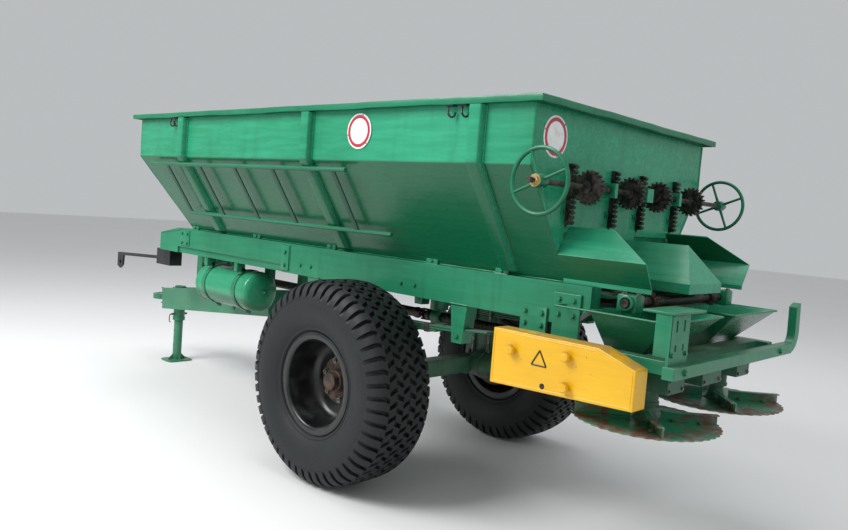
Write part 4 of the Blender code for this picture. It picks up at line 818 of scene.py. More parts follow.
def side_panel(side):
    """A side wall: its section bent at the crease, bulging a little between the ribs.

    The bulge is a product of two half sine waves, one between ribs and one up the slope.
    """
    heights = np.concatenate([np.linspace(HOPPER_FLOOR, CREASE_Z - 0.010, 16),
                              [CREASE_Z - 0.003, CREASE_Z + 0.003],
                              np.linspace(CREASE_Z + 0.010, WALL_TOP, 9)])
    run = np.linspace(0, 1, 110)
    z = np.repeat(heights[:, None], len(run), axis=1)
    front = HOPPER_FRONT + np.clip((CREASE_Z - z) / (CREASE_Z - HOPPER_FLOOR), 0, 1) * (HOPPER_FRONT_FLOOR
        - HOPPER_FRONT)
    y = front + (HOPPER_REAR - front) * run
    stops = np.array([HOPPER_FRONT, *(AXLE_Y + place for place in RIB_PLACES), HOPPER_REAR])
    bay = np.interp(y, stops, np.arange(len(stops)))
    share = np.where(z > CREASE_Z, (z - CREASE_Z) / (WALL_TOP - CREASE_Z),
                     (z - HOPPER_FLOOR) / (CREASE_Z - HOPPER_FLOOR))
    bulge = 0.0022 * np.abs(np.sin(pi * bay)) * np.sin(pi * share) * np.cos(7.0 * y + 3 * side)
    x = slope_x(z) - 0.0006 + np.minimum(bulge, 0.0)
    return sheet(np.stack([side * x, y, z], axis=-1), np.stack([side * (x - WALL + 0.0008), y, z], axis=-1))


def rib_shape(side, place):
    """A pressed channel down a side: a shallow tray section set off along x at each height."""
    heights = np.array([WALL_TOP - 0.003, CREASE_Z + 0.006, CREASE_Z, CREASE_Z - 0.006, HOPPER_FLOOR + 0.021])
    tray = np.array([(-0.040, -0.002), (-0.0385, 0.006), (-0.034, 0.030), (-0.030, 0.0340), (-0.026, 0.0348),
                     (0.026, 0.0348), (0.030, 0.0340), (0.034, 0.030), (0.0385, 0.006), (0.040, -0.002)])
    x = slope_x(heights)[:, None] + tray[None, :, 1]
    x[2] -= 0.0012
    points = np.stack([side * x, AXLE_Y + place + np.repeat(tray[None, :, 0], len(heights), axis=0),
                       np.repeat(heights[:, None], len(tray), axis=1)], axis=-1)
    count = len(tray)
    return shape(points, grid_faces(len(heights), count, round_columns=True),
                 [np.arange(count)[::-1], np.arange(count) + count * (len(heights) - 1)])


for word, side in SIDES:
    piece("hopper_side_panel_" + word, side_panel(side), panel_green,
          replaces=("hopper_side_" + word,))
    ribs = [rib_shape(side, place) for place in RIB_PLACES]
    piece("hopper_ribs_" + word, together(*ribs), panel_green)
    seams = []
    for place in RIB_PLACES:
        for edge in (-0.0415, 0.0415):
            y = AXLE_Y + place + edge
            seams += [weld((side * (HOPPER_HALF + 0.001), y, CREASE_Z + 0.004),
                           (side * (HOPPER_HALF + 0.001), y, WALL_TOP - 0.006), 0.0045),
                      weld((side * (HOPPER_HALF + 0.001), y, CREASE_Z - 0.004),
                           (side * (FLOOR_HALF + 0.016), y, HOPPER_FLOOR + 0.022), 0.0045)]
    corner_x, floor_x = side * (HOPPER_HALF - 0.003), side * (FLOOR_HALF - 0.003)
    seams += [weld((corner_x, HOPPER_REAR, CREASE_Z + 0.002), (corner_x, HOPPER_REAR, WALL_TOP - 0.004),
                   0.005),
              weld((corner_x, HOPPER_REAR, CREASE_Z), (floor_x, HOPPER_REAR, HOPPER_FLOOR + 0.004), 0.005),
              weld((corner_x, HOPPER_FRONT, CREASE_Z), (corner_x, HOPPER_FRONT, WALL_TOP - 0.004), 0.005),
              weld((corner_x, HOPPER_FRONT, CREASE_Z), (floor_x, HOPPER_FRONT_FLOOR, HOPPER_FLOOR + 0.004),
                   0.005), weld((side * (FLOOR_HALF - 0.001), HOPPER_FRONT_FLOOR + 0.02,
                                 HOPPER_FLOOR + 0.003),
                                (side * (FLOOR_HALF - 0.001), HOPPER_REAR - 0.01, HOPPER_FLOOR + 0.003),
                                0.0055)]
    piece("hopper_welds_" + word, together(*seams), panel_green)
    hooks = []
    for place in (-1.735, -1.690, 0.700, 0.780):
        y, x = AXLE_Y + place, side * (HOPPER_HALF + 0.022)
        hooks.append(carried(ring(0.0048, 8), eased_line([(x, y - 0.010, WALL_TOP + 0.001),
                                     (x + side * 0.004, y - 0.009, WALL_TOP - 0.022),
                                     (x + side * 0.012, y, WALL_TOP - 0.042),
                                     (x + side * 0.004, y + 0.010, WALL_TOP - 0.056),
                                     (x - side * 0.008, y + 0.018, WALL_TOP - 0.050),
                                     (x - side * 0.010, y + 0.022, WALL_TOP - 0.034)], 22), (side, 0, 0)))
        hooks.append(block((side * HOPPER_HALF, y - 0.020, WALL_TOP - 0.008),
                           (side * (HOPPER_HALF + 0.032), y + 0.020, WALL_TOP - 0.001), 0.002))
    piece("cover_hooks_" + word, together(*hooks), wheel_black)
eased("hopper_front", panel_green, edge=0.0015)
eased("hopper_rear", panel_green, edge=0.0015)


def rim_shape():
    """The turned-out rim: rectangles round the hopper's top joined into a bent strip.

    Each ring of the strip's section is a rectangle between the hopper's edge and the rim's
    outer edge; its height ripples gently, because the sheet was folded by hand.
    """
    out = np.array([0.0, 0.0, 0.06, 0.92, 0.985, 1.0, 1.0, 0.985, 0.90, 0.88, 0.80, 0.24, 0.20, 0.20])
    drop = np.array([0.0297, 0.0020, 0.0, 0.0, 0.001, 0.004, 0.026, 0.0285, 0.0285, 0.024, 0.0075, 0.0080,
                     0.0120, 0.0297])
    ripple = np.array([0, 0, 0.3, 0.6, 0.6, 0.6, 1.0, 1.0, 1.0, 1.0, 0.6, 0.2, 0, 0])
    share = np.linspace(0, 1, 90, endpoint=False)
    corners = np.array([(1, 1), (-1, 1), (-1, -1), (1, -1), (1, 1)], float)
    unit = np.concatenate([corners[k] + (corners[k + 1] - corners[k]) * share[:, None] for k in range(4)])
    inner = np.array([HOPPER_HALF - 0.010, (HOPPER_REAR - HOPPER_FRONT) / 2 - 0.010])
    outer = np.array([rim_high[0], (rim_high[1] - rim_low[1]) / 2])
    middle = np.array([0.0, (rim_low[1] + rim_high[1]) / 2])
    half = inner + (outer - inner) * out[:, None]
    flat = middle + unit[:, None] * half[None]
    around_run = np.cumsum(np.hypot(*(np.diff(unit, axis=0, append=unit[:1]) * outer).T))
    wave = (0.5 + 0.27 * np.sin(around_run * 7.1) + 0.15 * np.sin(around_run * 17.3 + 1)
            + 0.08 * np.sin(around_run * 31.0)) * 0.005
    z = rim_high[2] - drop[None] - wave[:, None] * ripple[None]
    flat[:, 4:9] -= (unit * (wave * 0.8)[:, None])[:, None]
    return shape(np.concatenate([flat, z[..., None]], axis=-1), grid_faces(*z.shape, True, True))


piece("hopper_rim_fold", rim_shape(), green, crease=50, replaces=("hopper_rim",))

# ---------------------------------------------------------------- bar racks on the slopes
# Two round bars lie along each slope over the ribs, with flat iron slats welded across them as
# steps to the hopper's edge.

RACK_TOP, RACK_LOW = 1.620, 1.310
rod_stand = RIB_DEPTH + 0.0123 * hypot(1, SLOPE_LEAN)
for word, side in SIDES:
    top_x, low_x = (side * (float(slope_x(z)) + rod_stand) for z in (RACK_TOP, RACK_LOW))
    bars = [rod((top_x, AXLE_Y - 2.000, RACK_TOP), (top_x, AXLE_Y + 0.020, RACK_TOP), 0.012),
            rod((low_x, AXLE_Y - 1.800, RACK_LOW), (low_x, AXLE_Y + 0.170, RACK_LOW), 0.012)]
    piece("rack_bars_" + word, together(*bars), green, replaces=("slat_rack_" + word,))
    slats = []
    for place in (-1.790, -1.390, -1.000, -0.620, -0.090):
        y = AXLE_Y + place
        slats.append(carried([(-0.015, -0.0035), (-0.014, -0.0045), (0.014, -0.0045), (0.015, -0.0035),
                              (0.015, 0.0035), (0.014, 0.0045), (-0.014, 0.0045), (-0.015, 0.0035)],
                             [(top_x, y, RACK_TOP + 0.004), (low_x, y, RACK_LOW - 0.004)], (1, 0, 0.3)))
    piece("rack_slats_" + word, together(*slats), dull_green)

# ---------------------------------------------------------------- round signs
# Two thin enamelled discs, white with a red ring and nothing written on them, riveted to the
# left wall and to the rear wall.

sign_white, white_shader, white_place = coating("sign_white", Coat_Weight=0.4)
white_dust = white_place.noise(30.0, 4.0).step(0.45, 0.75)
feed(white_shader, Base_Color=white_dust.between(rgb(0.83, 0.85, 0.84), rgb(0.62, 0.64, 0.60)),
     Roughness=white_dust * 0.3 + 0.25)
sign_red, red_shader, red_place = coating("sign_red", Coat_Weight=0.4)
red_fade = red_place.noise(24.0, 3.0).step(0.35, 0.70)
feed(red_shader, Base_Color=red_fade.between(rgb(0.50, 0.022, 0.040), rgb(0.36, 0.030, 0.055)),
     Roughness=red_fade * 0.2 + 0.28)
for word, place, facing in (("side", (HOPPER_HALF + 0.0004, AXLE_Y + 0.085, 1.815), (1, 0, 0)),
                            ("rear", (0.640, HOPPER_REAR + 0.0004, 1.800), (0, 1, 0))):
    piece("sign_plate_" + word, together(
        turned([(0.0885, 0.0), (0.0890, 0.0008), (0.0880, 0.0022), (0.0700, 0.0024)], place, facing, 72)),
        sign_white)
    piece("sign_ring_" + word, turned([(0.0640, 0.0020), (0.0640, 0.0031), (0.0652, 0.0035), (0.0788, 0.0035),
                                       (0.0800, 0.0031), (0.0800, 0.0020)], place, facing, 72, ring=True),
          sign_red)
    rivets = around(np.array(place) + np.array(facing) * 0.002, facing, 0.0835, 3, 0.5)
    piece("sign_rivets_" + word, together(*[turned([(0.0040, 0.0), (0.0038, 0.0012), (0.0024, 0.0022)], spot,
                                                facing, 10) for spot in rivets]), bare_steel)

# ---------------------------------------------------------------- gates, racks and handwheels
# Each rear doorway has a sliding gate inside the wall. Two greasy toothed bars on it stand out
# through slots, and pinions on a handwheel's shaft lift them. Bearings carry both shafts.

TOOTH_PITCH = 0.02199
PINION_TEETH = 20
PINION_HALF = 0.0115
PINION_ROOT, PINION_TIP = 0.0640, 0.0748
BAR_HALF = 0.0155
BAR_LOW, BAR_HIGH = 1.4345, 1.7005
HANDWHEEL_X = 0.870
SHAFT_Y, SHAFT_Z = AXLE_Y + 1.240, 1.600
bar_front = HOPPER_REAR + 0.0003
greasy_steel, grease_shader, grease_place = coating("greasy_steel", Metallic=0.55)
grease = grease_place.noise(34.0, 5.0, 0.65).step(0.36, 0.62)
feed(grease_shader, Base_Color=grease.between(rgb(0.085, 0.070, 0.058), rgb(0.014, 0.012, 0.011)),
     Roughness=0.62 - grease * 0.26, Normal=grease_place.bump(grease, 0.0010))


def rack_outline(low, high):
    """A toothed bar from the side, as (y, z): a straight back and teeth a pitch apart."""
    first = SHAFT_Z - TOOTH_PITCH * int((SHAFT_Z - low) / TOOTH_PITCH)
    tops = np.arange(first, high - 0.010, TOOTH_PITCH)
    tooth = np.array([(0.0240, -0.0085), (0.0340, -0.0040), (0.0340, 0.0040), (0.0240, 0.0085)])
    teeth = np.concatenate([tooth + (0, z) for z in tops if z - 0.010 > low])
    return [(bar_front, low), (bar_front + 0.0240, low), *((bar_front + y, z) for y, z in teeth),
            (bar_front + 0.0240, high), (bar_front, high)]


def pinion_outline(middle):
    """A gear's (y, z) corners: four to a tooth, a gap of it facing the bar's tooth."""
    places = np.arange(PINION_TEETH)[:, None] + np.array([0.24, 0.36, 0.64, 0.76])
    turn = places.ravel() * 2 * pi / PINION_TEETH
    radius = np.tile([PINION_ROOT, PINION_TIP, PINION_TIP, PINION_ROOT], PINION_TEETH)
    return [(middle[0] - r * cos(a), middle[1] + r * sin(a)) for r, a in zip(radius, turn)]


bar_places = (0.135, 0.500)
for word, side in SIDES:
    body = "gate_" + word
    eased("gate_" + word, dull_green, body, 0.0012)
    toothed = []
    for x in bar_places:
        toothed.append(slab(rack_outline(BAR_LOW, BAR_HIGH), "x", side * x - BAR_HALF, side * x + BAR_HALF,
                            0.0012))
    piece("toothed_bars_" + word, together(*toothed), greasy_steel, body)

    body = "handwheel_" + word
    wheel_x = side * HANDWHEEL_X
    steel_parts = [rod((side * 0.003, SHAFT_Y, SHAFT_Z), (side * 0.9440, SHAFT_Y, SHAFT_Z), 0.0118)]
    green_parts = [turned([(0.020, -0.030), (0.026, -0.028), (0.028, -0.020), (0.028, 0.020), (0.024, 0.026),
                           (0.016, 0.028)], (wheel_x, SHAFT_Y, SHAFT_Z), (side, 0, 0), 32)]
    for x in bar_places:
        middle = side * x
        steel_parts += [slab(pinion_outline((SHAFT_Y, SHAFT_Z)), "x", middle - PINION_HALF,
                             middle + PINION_HALF, 0.0010), turned([(0.022, -0.030), (0.026, -0.028),
                                (0.026, 0.028), (0.022, 0.030)], (middle, SHAFT_Y, SHAFT_Z), (1, 0, 0), 24)]
    turn = np.arange(72) * 2 * pi / 72
    hoop = np.column_stack([np.full(72, wheel_x), SHAFT_Y + 0.131 * np.cos(turn),
                            SHAFT_Z + 0.131 * np.sin(turn)])
    green_parts.append(carried(ring(0.0088, 12), hoop, (1, 0, 0), closed=True))
    for spoke in range(4):
        angle = pi / 8 + spoke * pi / 2
        out = np.array([0, cos(angle), sin(angle)])
        hub = np.array([wheel_x, SHAFT_Y, SHAFT_Z])
        green_parts.append(carried(ring(0.0068, 10),
                                   [hub + out * 0.020, hub + out * 0.060, hub + out * 0.128], (1, 0, 0),
                                   swell=np.array([1.25, 1.0, 0.95])))
    piece("handwheel_hoop_" + word, together(*green_parts), green, body,
          replaces=("handwheel_" + word,))
    piece("handwheel_shaft_" + word, together(*steel_parts), greasy_steel, body)
brass, brass_shader, brass_place = coating("brass_nut", Metallic=0.7)
tarnish = brass_place.noise(60.0, 4.0).step(0.4, 0.7)
feed(brass_shader, Base_Color=tarnish.between(rgb(0.62, 0.46, 0.20), rgb(0.30, 0.20, 0.08)),
     Roughness=tarnish * 0.3 + 0.3)
for word, side in SIDES:
    piece("handwheel_nut_" + word, together(bolts([(side * 0.898, SHAFT_Y, SHAFT_Z)], (side, 0, 0), 0.020)),
          brass, "handwheel_" + word)
bearing_parts, bearing_bolts = [], []
for x in (-0.320, 0.0, 0.320):
    half = 0.013 if x else 0.031
    bearing_parts += [turned([(0.0132, -half), (0.0250, -half), (0.0275, -half + 0.003),
                              (0.0275, half - 0.003), (0.0250, half), (0.0132, half)], (x, SHAFT_Y, SHAFT_Z),
                             (1, 0, 0), 32, ring=True), block((x - half - 0.020, HOPPER_REAR,
                              SHAFT_Z - 0.062), (x + half + 0.020, HOPPER_REAR + 0.006, SHAFT_Z + 0.062)),
                      weld((x - half, HOPPER_REAR + 0.008, SHAFT_Z + 0.034),
                           (x + half, HOPPER_REAR + 0.008, SHAFT_Z + 0.034), 0.0045), weld((x - half,
                              HOPPER_REAR + 0.008, SHAFT_Z - 0.034),
                          (x + half, HOPPER_REAR + 0.008, SHAFT_Z - 0.034), 0.0045)]
    bearing_bolts.append(bolts([(x, HOPPER_REAR + 0.006, SHAFT_Z + z) for z in (-0.050, 0.050)], (0, 1, 0),
                               0.009))
for x in bar_places:
    for side in (-1, 1):
        # a strap across each toothed bar keeps it against the wall
        for z in (1.492,):
            middle = side * x
            bearing_parts += [block((middle - 0.048, HOPPER_REAR, z - 0.014),
                                    (middle - 0.020, HOPPER_REAR + 0.005, z + 0.014), 0.0015),
                              block((middle + 0.020, HOPPER_REAR, z - 0.014),
                                    (middle + 0.048, HOPPER_REAR + 0.005, z + 0.014), 0.0015)]
            bearing_bolts.append(bolts([(middle - 0.036, HOPPER_REAR + 0.005, z),
                                        (middle + 0.036, HOPPER_REAR + 0.005, z)], (0, 1, 0), 0.0065))
piece("shaft_bearings", together(*bearing_parts), green)
piece("bearing_bolts", together(*bearing_bolts), dull_green)

# ---------------------------------------------------------------- discharge end
# Bent guide plates and a ridged divider lead the load off the chain floor into two funnels.
# The floor is two endless chains with steel slats, driven by a cross shaft in bolted bearings.

for node_name in ("side_chute_left", "side_chute_right", "flow_divider", "funnel_left", "funnel_right"):
    eased(node_name, panel_green, edge=0.0018)
floor_low, floor_high = (np.array(corner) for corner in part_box("floor_conveyor"))
loop_radius = (floor_high[2] - floor_low[2]) / 2
LOOP_Z = (floor_high[2] + floor_low[2]) / 2
DRIVE_Y, IDLE_Y = floor_high[1] - loop_radius, floor_low[1] + loop_radius
chain_steel, chain_shader, chain_place = coating("chain_steel", Metallic=0.5)
chain_rust = chain_place.noise(16.0, 5.0, 0.65).step(0.35, 0.68)
feed(chain_shader, Base_Color=chain_rust.between(rgb(0.045, 0.040, 0.036), rgb(0.125, 0.060, 0.035)),
     Roughness=chain_rust * 0.35 + 0.42, Normal=chain_place.bump(chain_rust, 0.0010))


def loop_places(spacing, inset):
    """Places and directions round the chain's loop: two straights and two half circles."""
    radius = loop_radius - inset
    straight, bend = DRIVE_Y - IDLE_Y, pi * radius
    count = int((2 * straight + 2 * bend) / spacing)
    s = np.arange(count) * (2 * straight + 2 * bend) / count
    k = np.searchsorted([straight, straight + bend, 2 * straight + bend], s, side="right")
    angle = np.select([k == 0, k == 1, k == 2], [pi / 2, pi / 2 - (s - straight) / radius, -pi / 2],
                      -pi / 2 - (s - 2 * straight - bend) / radius)
    y = np.select([k == 0, k == 1, k == 2],
                  [IDLE_Y + s, DRIVE_Y + radius * np.cos(angle), DRIVE_Y - (s - straight - bend)],
                  IDLE_Y + radius * np.cos(angle))
    z = LOOP_Z + radius * np.sin(angle)
    return np.column_stack([y, z]), angle


def copies(one, places, turns):
    """Copies of a shape made round (0, 0, 0), each turned about x and put at its place."""
    c, s = np.cos(turns), np.sin(turns)
    x = np.repeat(one[0][None, :, 0], len(places), axis=0)
    y = one[0][None, :, 1] * c[:, None] - one[0][None, :, 2] * s[:, None] + places[:, 0, None]
    z = one[0][None, :, 1] * s[:, None] + one[0][None, :, 2] * c[:, None] + places[:, 1, None]
    points = np.stack([x, y, z], axis=-1)
    faces = [[corner + k * len(one[0]) for corner in face] for k in range(len(places)) for face in one[1]]
    return points.reshape(-1, 3), faces


link_places, link_turns = loop_places(0.052, 0.010)
links = []
for x in (-0.300, 0.300):
    link = together(block((x - 0.012, -0.030, -0.008), (x - 0.008, 0.030, 0.008), 0.001),
                    block((x + 0.008, -0.030, -0.008), (x + 0.012, 0.030, 0.008), 0.001),
                    turned([(0.0065, -0.010), (0.0065, 0.010)], (x, 0, 0), (1, 0, 0), 8))
    links.append(copies(link, link_places, link_turns - pi / 2))
piece("floor_chains", together(*links), chain_steel, replaces=("floor_conveyor",))
slat_places, slat_turns = loop_places(0.208, 0.008)
slat = block((-0.400, -0.014, -0.004), (0.400, 0.014, 0.004), 0.002)
piece("floor_slats", copies(slat, slat_places, slat_turns - pi / 2), chain_steel)
piece("floor_plate", together(block((-0.418, IDLE_Y + 0.05, LOOP_Z + 0.008),
                                    (0.418, DRIVE_Y - 0.075, LOOP_Z + 0.013), 0.001)), dull_green)
sprockets = [rod((-0.519, DRIVE_Y, LOOP_Z), (0.519, DRIVE_Y, LOOP_Z), 0.0195, 28),
             rod((-0.410, IDLE_Y, LOOP_Z), (0.410, IDLE_Y, LOOP_Z), 0.0150, 24)]
for x in (-0.300, 0.300):
    for y in (DRIVE_Y, IDLE_Y):
        sprockets.append(turned([(0.020, -0.005), (0.030, -0.0035), (0.030, 0.0035), (0.020, 0.005)],
                                (x, y, LOOP_Z), (1, 0, 0), 48, lobes=8, lobe_depth=0.22))
piece("conveyor_shafts", together(*sprockets), greasy_steel, replaces=("conveyor_shaft",))
bearing_blocks, block_bolts = [], []
for word, side in SIDES:
    bearing_blocks += [block((side * 0.430, DRIVE_Y - 0.045, 1.0955), (side * 0.500, DRIVE_Y + 0.045, 1.170),
                             0.006), turned([(0.024, 0.0), (0.036, 0.002), (0.036, 0.008), (0.030, 0.012),
                                             (0.024, 0.012)], (side * 0.500, DRIVE_Y, LOOP_Z), (side, 0, 0),
                                            32, ring=True)]
    block_bolts.append(bolts([(side * 0.465, DRIVE_Y + y, 1.170) for y in (-0.032, 0.032)], (0, 0, 1), 0.010))
piece("conveyor_bearings", together(*bearing_blocks), green)
piece("conveyor_bearing_bolts", together(*block_bolts), bare_steel)
lips = []
for word, side in SIDES:
    low, high = (np.array(corner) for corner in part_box("funnel_" + word))
    loop = [(low[0] + 0.004, low[1] + 0.004, high[2] - 0.005),
            (high[0] - 0.004, low[1] + 0.004, high[2] - 0.005),
            (high[0] - 0.004, high[1] - 0.004, high[2] - 0.005),
            (low[0] + 0.004, high[1] - 0.004, high[2] - 0.005)]
    for k in range(4):
        lips.append(rod(loop[k], loop[(k + 1) % 4], 0.0045, 10, 0.001))
piece("funnel_lips", together(*lips), green)

# ---------------------------------------------------------------- rear frame
# Two arms carry the spreading gear behind the frame. A flat bumper with an upturned horn closes
# them, and on the left a folded post with slots holds a flat shelf.

for node_name in ("spreader_arm_left", "spreader_arm_right", "rear_bumper"):
    eased(node_name, green, edge=0.005)


def pierced(x_edges, z_edges, gaps, y_low, y_high):
    """A plate across y laid out as cells between the edges; the cells in gaps are left open.

    Every kept cell is a thin box; faces between two kept cells are left out, so it is one wall.
    """
    kept = np.ones((len(x_edges) - 1, len(z_edges) - 1), bool)
    for i, j in gaps:
        kept[i, j] = False
    padded = np.pad(kept, 1)
    grid = np.array([[[(x, y, z) for z in z_edges] for x in x_edges] for y in (y_low, y_high)])
    ids = np.arange(grid[..., 0].size).reshape(grid.shape[:3])
    faces = []
    for i, j in np.argwhere(kept):
        near = [ids[0, i, j], ids[0, i + 1, j], ids[0, i + 1, j + 1], ids[0, i, j + 1]]
        far = [ids[1, i, j], ids[1, i + 1, j], ids[1, i + 1, j + 1], ids[1, i, j + 1]]
        faces += [near, far[::-1]]
        for (a, b), open_side in (((0, 1), padded[i + 1, j]), ((1, 2), padded[i + 2, j + 1]),
                                  ((2, 3), padded[i + 1, j + 2]), ((3, 0), padded[i, j + 1])):
            if not open_side:
                faces.append([near[b], near[a], far[a], far[b]])
    return shape(grid.reshape(-1, 3), np.array(faces))


slot_x = (0.450, 0.490, 0.504, 0.556, 0.570, 0.6145)
slot_z = (0.9305, 0.955, 0.985, 1.010, 1.060, 1.105, 1.1335)
post_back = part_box("rear_bumper")[0].y + 0.005
piece("rear_post_plate", together(
    pierced(slot_x, slot_z, [(1, 4), (3, 4), (1, 2), (3, 2)], post_back, post_back + 0.012),
    block((0.6030, post_back - 0.055, 0.960), (0.6140, post_back + 0.012, 1.133), 0.003)),
    green, replaces=("rear_post_left",))
piece("rear_shelf", together(
    block((0.330, AXLE_Y + 1.600, 1.128), (0.620, post_back + 0.025, 1.138), 0.003),
    weld((0.46, post_back + 0.014, 1.126), (0.60, post_back + 0.014, 1.126), 0.004)), green)
rear_bolts = [bolts([(x, post_back + 0.012, 0.972) for x in (0.472, 0.590)], (0, 1, 0), 0.009)]
for word, side in SIDES:
    rear_bolts += [bolts([(side * 0.512, AXLE_Y + y, z) for y in (1.150, 1.225) for z in (1.045, 1.110)],
                         (side, 0, 0), 0.011),
                   bolts([(side * 0.530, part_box("rear_bumper")[1].y, 0.905)], (0, 1, 0), 0.012)]
piece("rear_frame_bolts", together(*rear_bolts), green)

# ---------------------------------------------------------------- spreading gear
# The drive shaft runs back under the hopper to a gearbox on the rear cross beam. Two more
# gearboxes turn the discs: worn plates with a notched edge and four folded vanes each.

eased("disc_drive", dull_green, edge=0.005)
gear_parts, gear_bolts = [], []
for word, side in SIDES:
    low, high = (np.array(corner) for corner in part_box("disc_" + word))
    centre = np.array([(low[0] + high[0]) / 2, (low[1] + high[1]) / 2, 0.640])
    finish, shader, place = coating("spreading_disc_" + word, Coat_Weight=0.1)
    outward = place.away_from(tuple(centre))
    rust = (place.noise(9.0, 5.0, 0.65) + outward * 0.9).step(0.62, 0.80)
    polish = (place.noise(30.0, 4.0, 0.6, (1, 1, 1)) + outward * 1.1).step(0.78, 0.92)
    tone = rust.between(rgb(0.016, 0.240, 0.115), rgb(0.150, 0.070, 0.050))
    tone = polish.between(tone, rgb(0.19, 0.24, 0.19))
    feed(shader, Base_Color=tone, Roughness=rust * 0.25 + 0.40, Metallic=polish * 0.4,
         Normal=place.bump(place.noise(70.0, 4.0) + rust * 0.5, 0.0012))
    body = "disc_" + word
    piece("disc_plate_" + word, turned([(0.030, 0.009), (0.080, 0.009), (0.200, 0.0085), (0.304, 0.0080),
                                        (0.3095, 0.0062), (0.3095, 0.0018), (0.304, 0.0), (0.200, 0.0005),
                                        (0.062, 0.0), (0.060, -0.0115), (0.030, -0.0118)], centre, (0, 0, 1),
                                       252, lobes=42, lobe_depth=0.026), finish, body,
          replaces=("disc_" + word,))
    vanes = []
    for vane in range(4):
        angle = 2 * pi * vane / 4 + pi / 5
        out, along = np.array([cos(angle), sin(angle), 0]), np.array([-sin(angle), cos(angle), 0])
        run = np.linspace(0.062, 0.296, 8)
        vane_bend = (0.020 * ((run - 0.062) / 0.234) ** 2)[:, None]
        path = centre + out * run[:, None] + along * vane_bend + np.array([0, 0, 0.0085])
        vanes.append(carried([(-0.003, 0.0), (0.003, 0.0), (0.003, 0.038), (0.0245, 0.040), (0.0250, 0.0425),
                              (0.0240, 0.0445), (0.0, 0.0445), (-0.003, 0.0420)], path))
        vanes.append(carried([(-0.026, -0.0005), (0.0, -0.0005), (0.0, 0.004), (-0.026, 0.003)], path))
    piece("disc_vanes_" + word, together(*vanes), finish, body)
    vane_turns = [2 * pi * v / 4 + pi / 5 for v in range(4)]
    spots = [centre + np.array([cos(a) * r + sin(a) * 0.014, sin(a) * r - cos(a) * 0.014, 0.0115])
             for a in vane_turns for r in (0.110, 0.220)]
    piece("disc_hub_" + word, together(turned([(0.057, 0.0085), (0.057, 0.013), (0.050, 0.018),
                                               (0.040, 0.030), (0.034, 0.055), (0.033, 0.068),
                                               (0.020, 0.0695)], centre, (0, 0, 1), 40),
                                       bolts(spots, (0, 0, 1), 0.008),
                                       bolts([(centre - np.array([0, 0, 0.0118]))], (0, 0, -1), 0.018)),
          dull_green, body)
    gear_parts += [turned([(0.045, 0.0), (0.050, 0.002), (0.050, 0.016), (0.046, 0.018), (0.046, 0.060),
                           (0.060, 0.062), (0.060, 0.072)], (centre[0], centre[1], 0.7112), (0, 0, 1), 40),
                   turned([(0.020, 0.0), (0.042, 0.0), (0.042, 0.012), (0.036, 0.016), (0.020, 0.016)],
                          (centre[0] - side * 0.0765, AXLE_Y + 1.565, 0.830), (-side, 0, 0), 32, ring=True)]
    gear_bolts += [bolts(around((centre[0], centre[1] , 0.7795), (0, 0, -1), 0.060, 6, 0.3), (0, 0, -1),
                         0.0065), bolts([(centre[0] + x, AXLE_Y + 1.650, z)
                                         for x in (-0.058, 0.058) for z in (0.795, 0.838)], (0, 1, 0), 0.007)]
for x in (-0.078, 0.078):
    gear_bolts.append(bolts([(x, AXLE_Y + 1.650, z) for z in (0.796, 0.868)], (0, 1, 0), 0.008))
gear_parts.append(turned([(0.024, 0.0), (0.050, 0.0), (0.050, 0.010), (0.040, 0.016), (0.024, 0.016)],
                         (0, AXLE_Y + 1.4895, 0.830), (0, -1, 0), 32, ring=True))
gear_parts.append(rod((-0.285, AXLE_Y + 1.565, 0.830), (0.285, AXLE_Y + 1.565, 0.830), 0.0245, 28))
piece("gearbox_flanges", together(*gear_parts), dull_green)
piece("gearbox_bolts", together(*gear_bolts), bare_steel)

shaft_low, shaft_high = (np.array(corner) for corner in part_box("drive_shaft"))
SHAFT_LEVEL = 0.830


def joint_at(y, radius=0.030):
    """Two forks and a cross between them: the sections of a shaft joint along the shaft."""
    cross = [rod((-0.034, y, SHAFT_LEVEL), (0.034, y, SHAFT_LEVEL), 0.010, 16),
             rod((0, y, SHAFT_LEVEL - 0.034), (0, y, SHAFT_LEVEL + 0.034), 0.010, 16)]
    forks = [block((side * 0.024, y - 0.046, SHAFT_LEVEL - 0.014),
                   (side * 0.034, y + 0.014, SHAFT_LEVEL + 0.014)) for side in (-1, 1)]
    forks += [block((-0.014, y - 0.014, SHAFT_LEVEL + side * 0.024),
                    (0.014, y + 0.046, SHAFT_LEVEL + side * 0.034)) for side in (-1, 1)]
    collars = [turned([(0.020, 0.0), (radius + 0.003, 0.002), (radius + 0.003, 0.020), (0.026, 0.024)],
                      (0, y + end * 0.062, SHAFT_LEVEL), (0, -end, 0), 28) for end in (-1, 1)]
    return [*cross, *forks, *collars]


front, middle, back = shaft_low[1], AXLE_Y, shaft_high[1]
pieces_of_shaft = [rod((0, front, SHAFT_LEVEL), (0, front + 0.10, SHAFT_LEVEL), 0.0175, 24), turned([(0.024,
                               0.0), (0.0295, 0.001), (0.0295, 0.055), (0.024, 0.056)],
                       (0, front + 0.10, SHAFT_LEVEL), (0, 1, 0), 6),
                   rod((0, front + 0.15, SHAFT_LEVEL), (0, middle - 0.150, SHAFT_LEVEL), 0.0285, 32),
                   rod((0, middle - 0.090, SHAFT_LEVEL), (0, middle + 0.10, SHAFT_LEVEL), 0.0285, 32),
                   rod((0, middle + 0.16, SHAFT_LEVEL), (0, middle + 0.80, SHAFT_LEVEL), 0.0285, 32),
                   rod((0, middle + 0.70, SHAFT_LEVEL), (0, back - 0.155, SHAFT_LEVEL), 0.0235, 32),
                   rod((0, back - 0.095, SHAFT_LEVEL), (0, back, SHAFT_LEVEL), 0.0235, 32),
                   *joint_at(middle + 0.130), *joint_at(middle - 0.120), *joint_at(back - 0.125)]
piece("drive_shaft_line", together(*pieces_of_shaft), greasy_steel,
      replaces=("drive_shaft",))
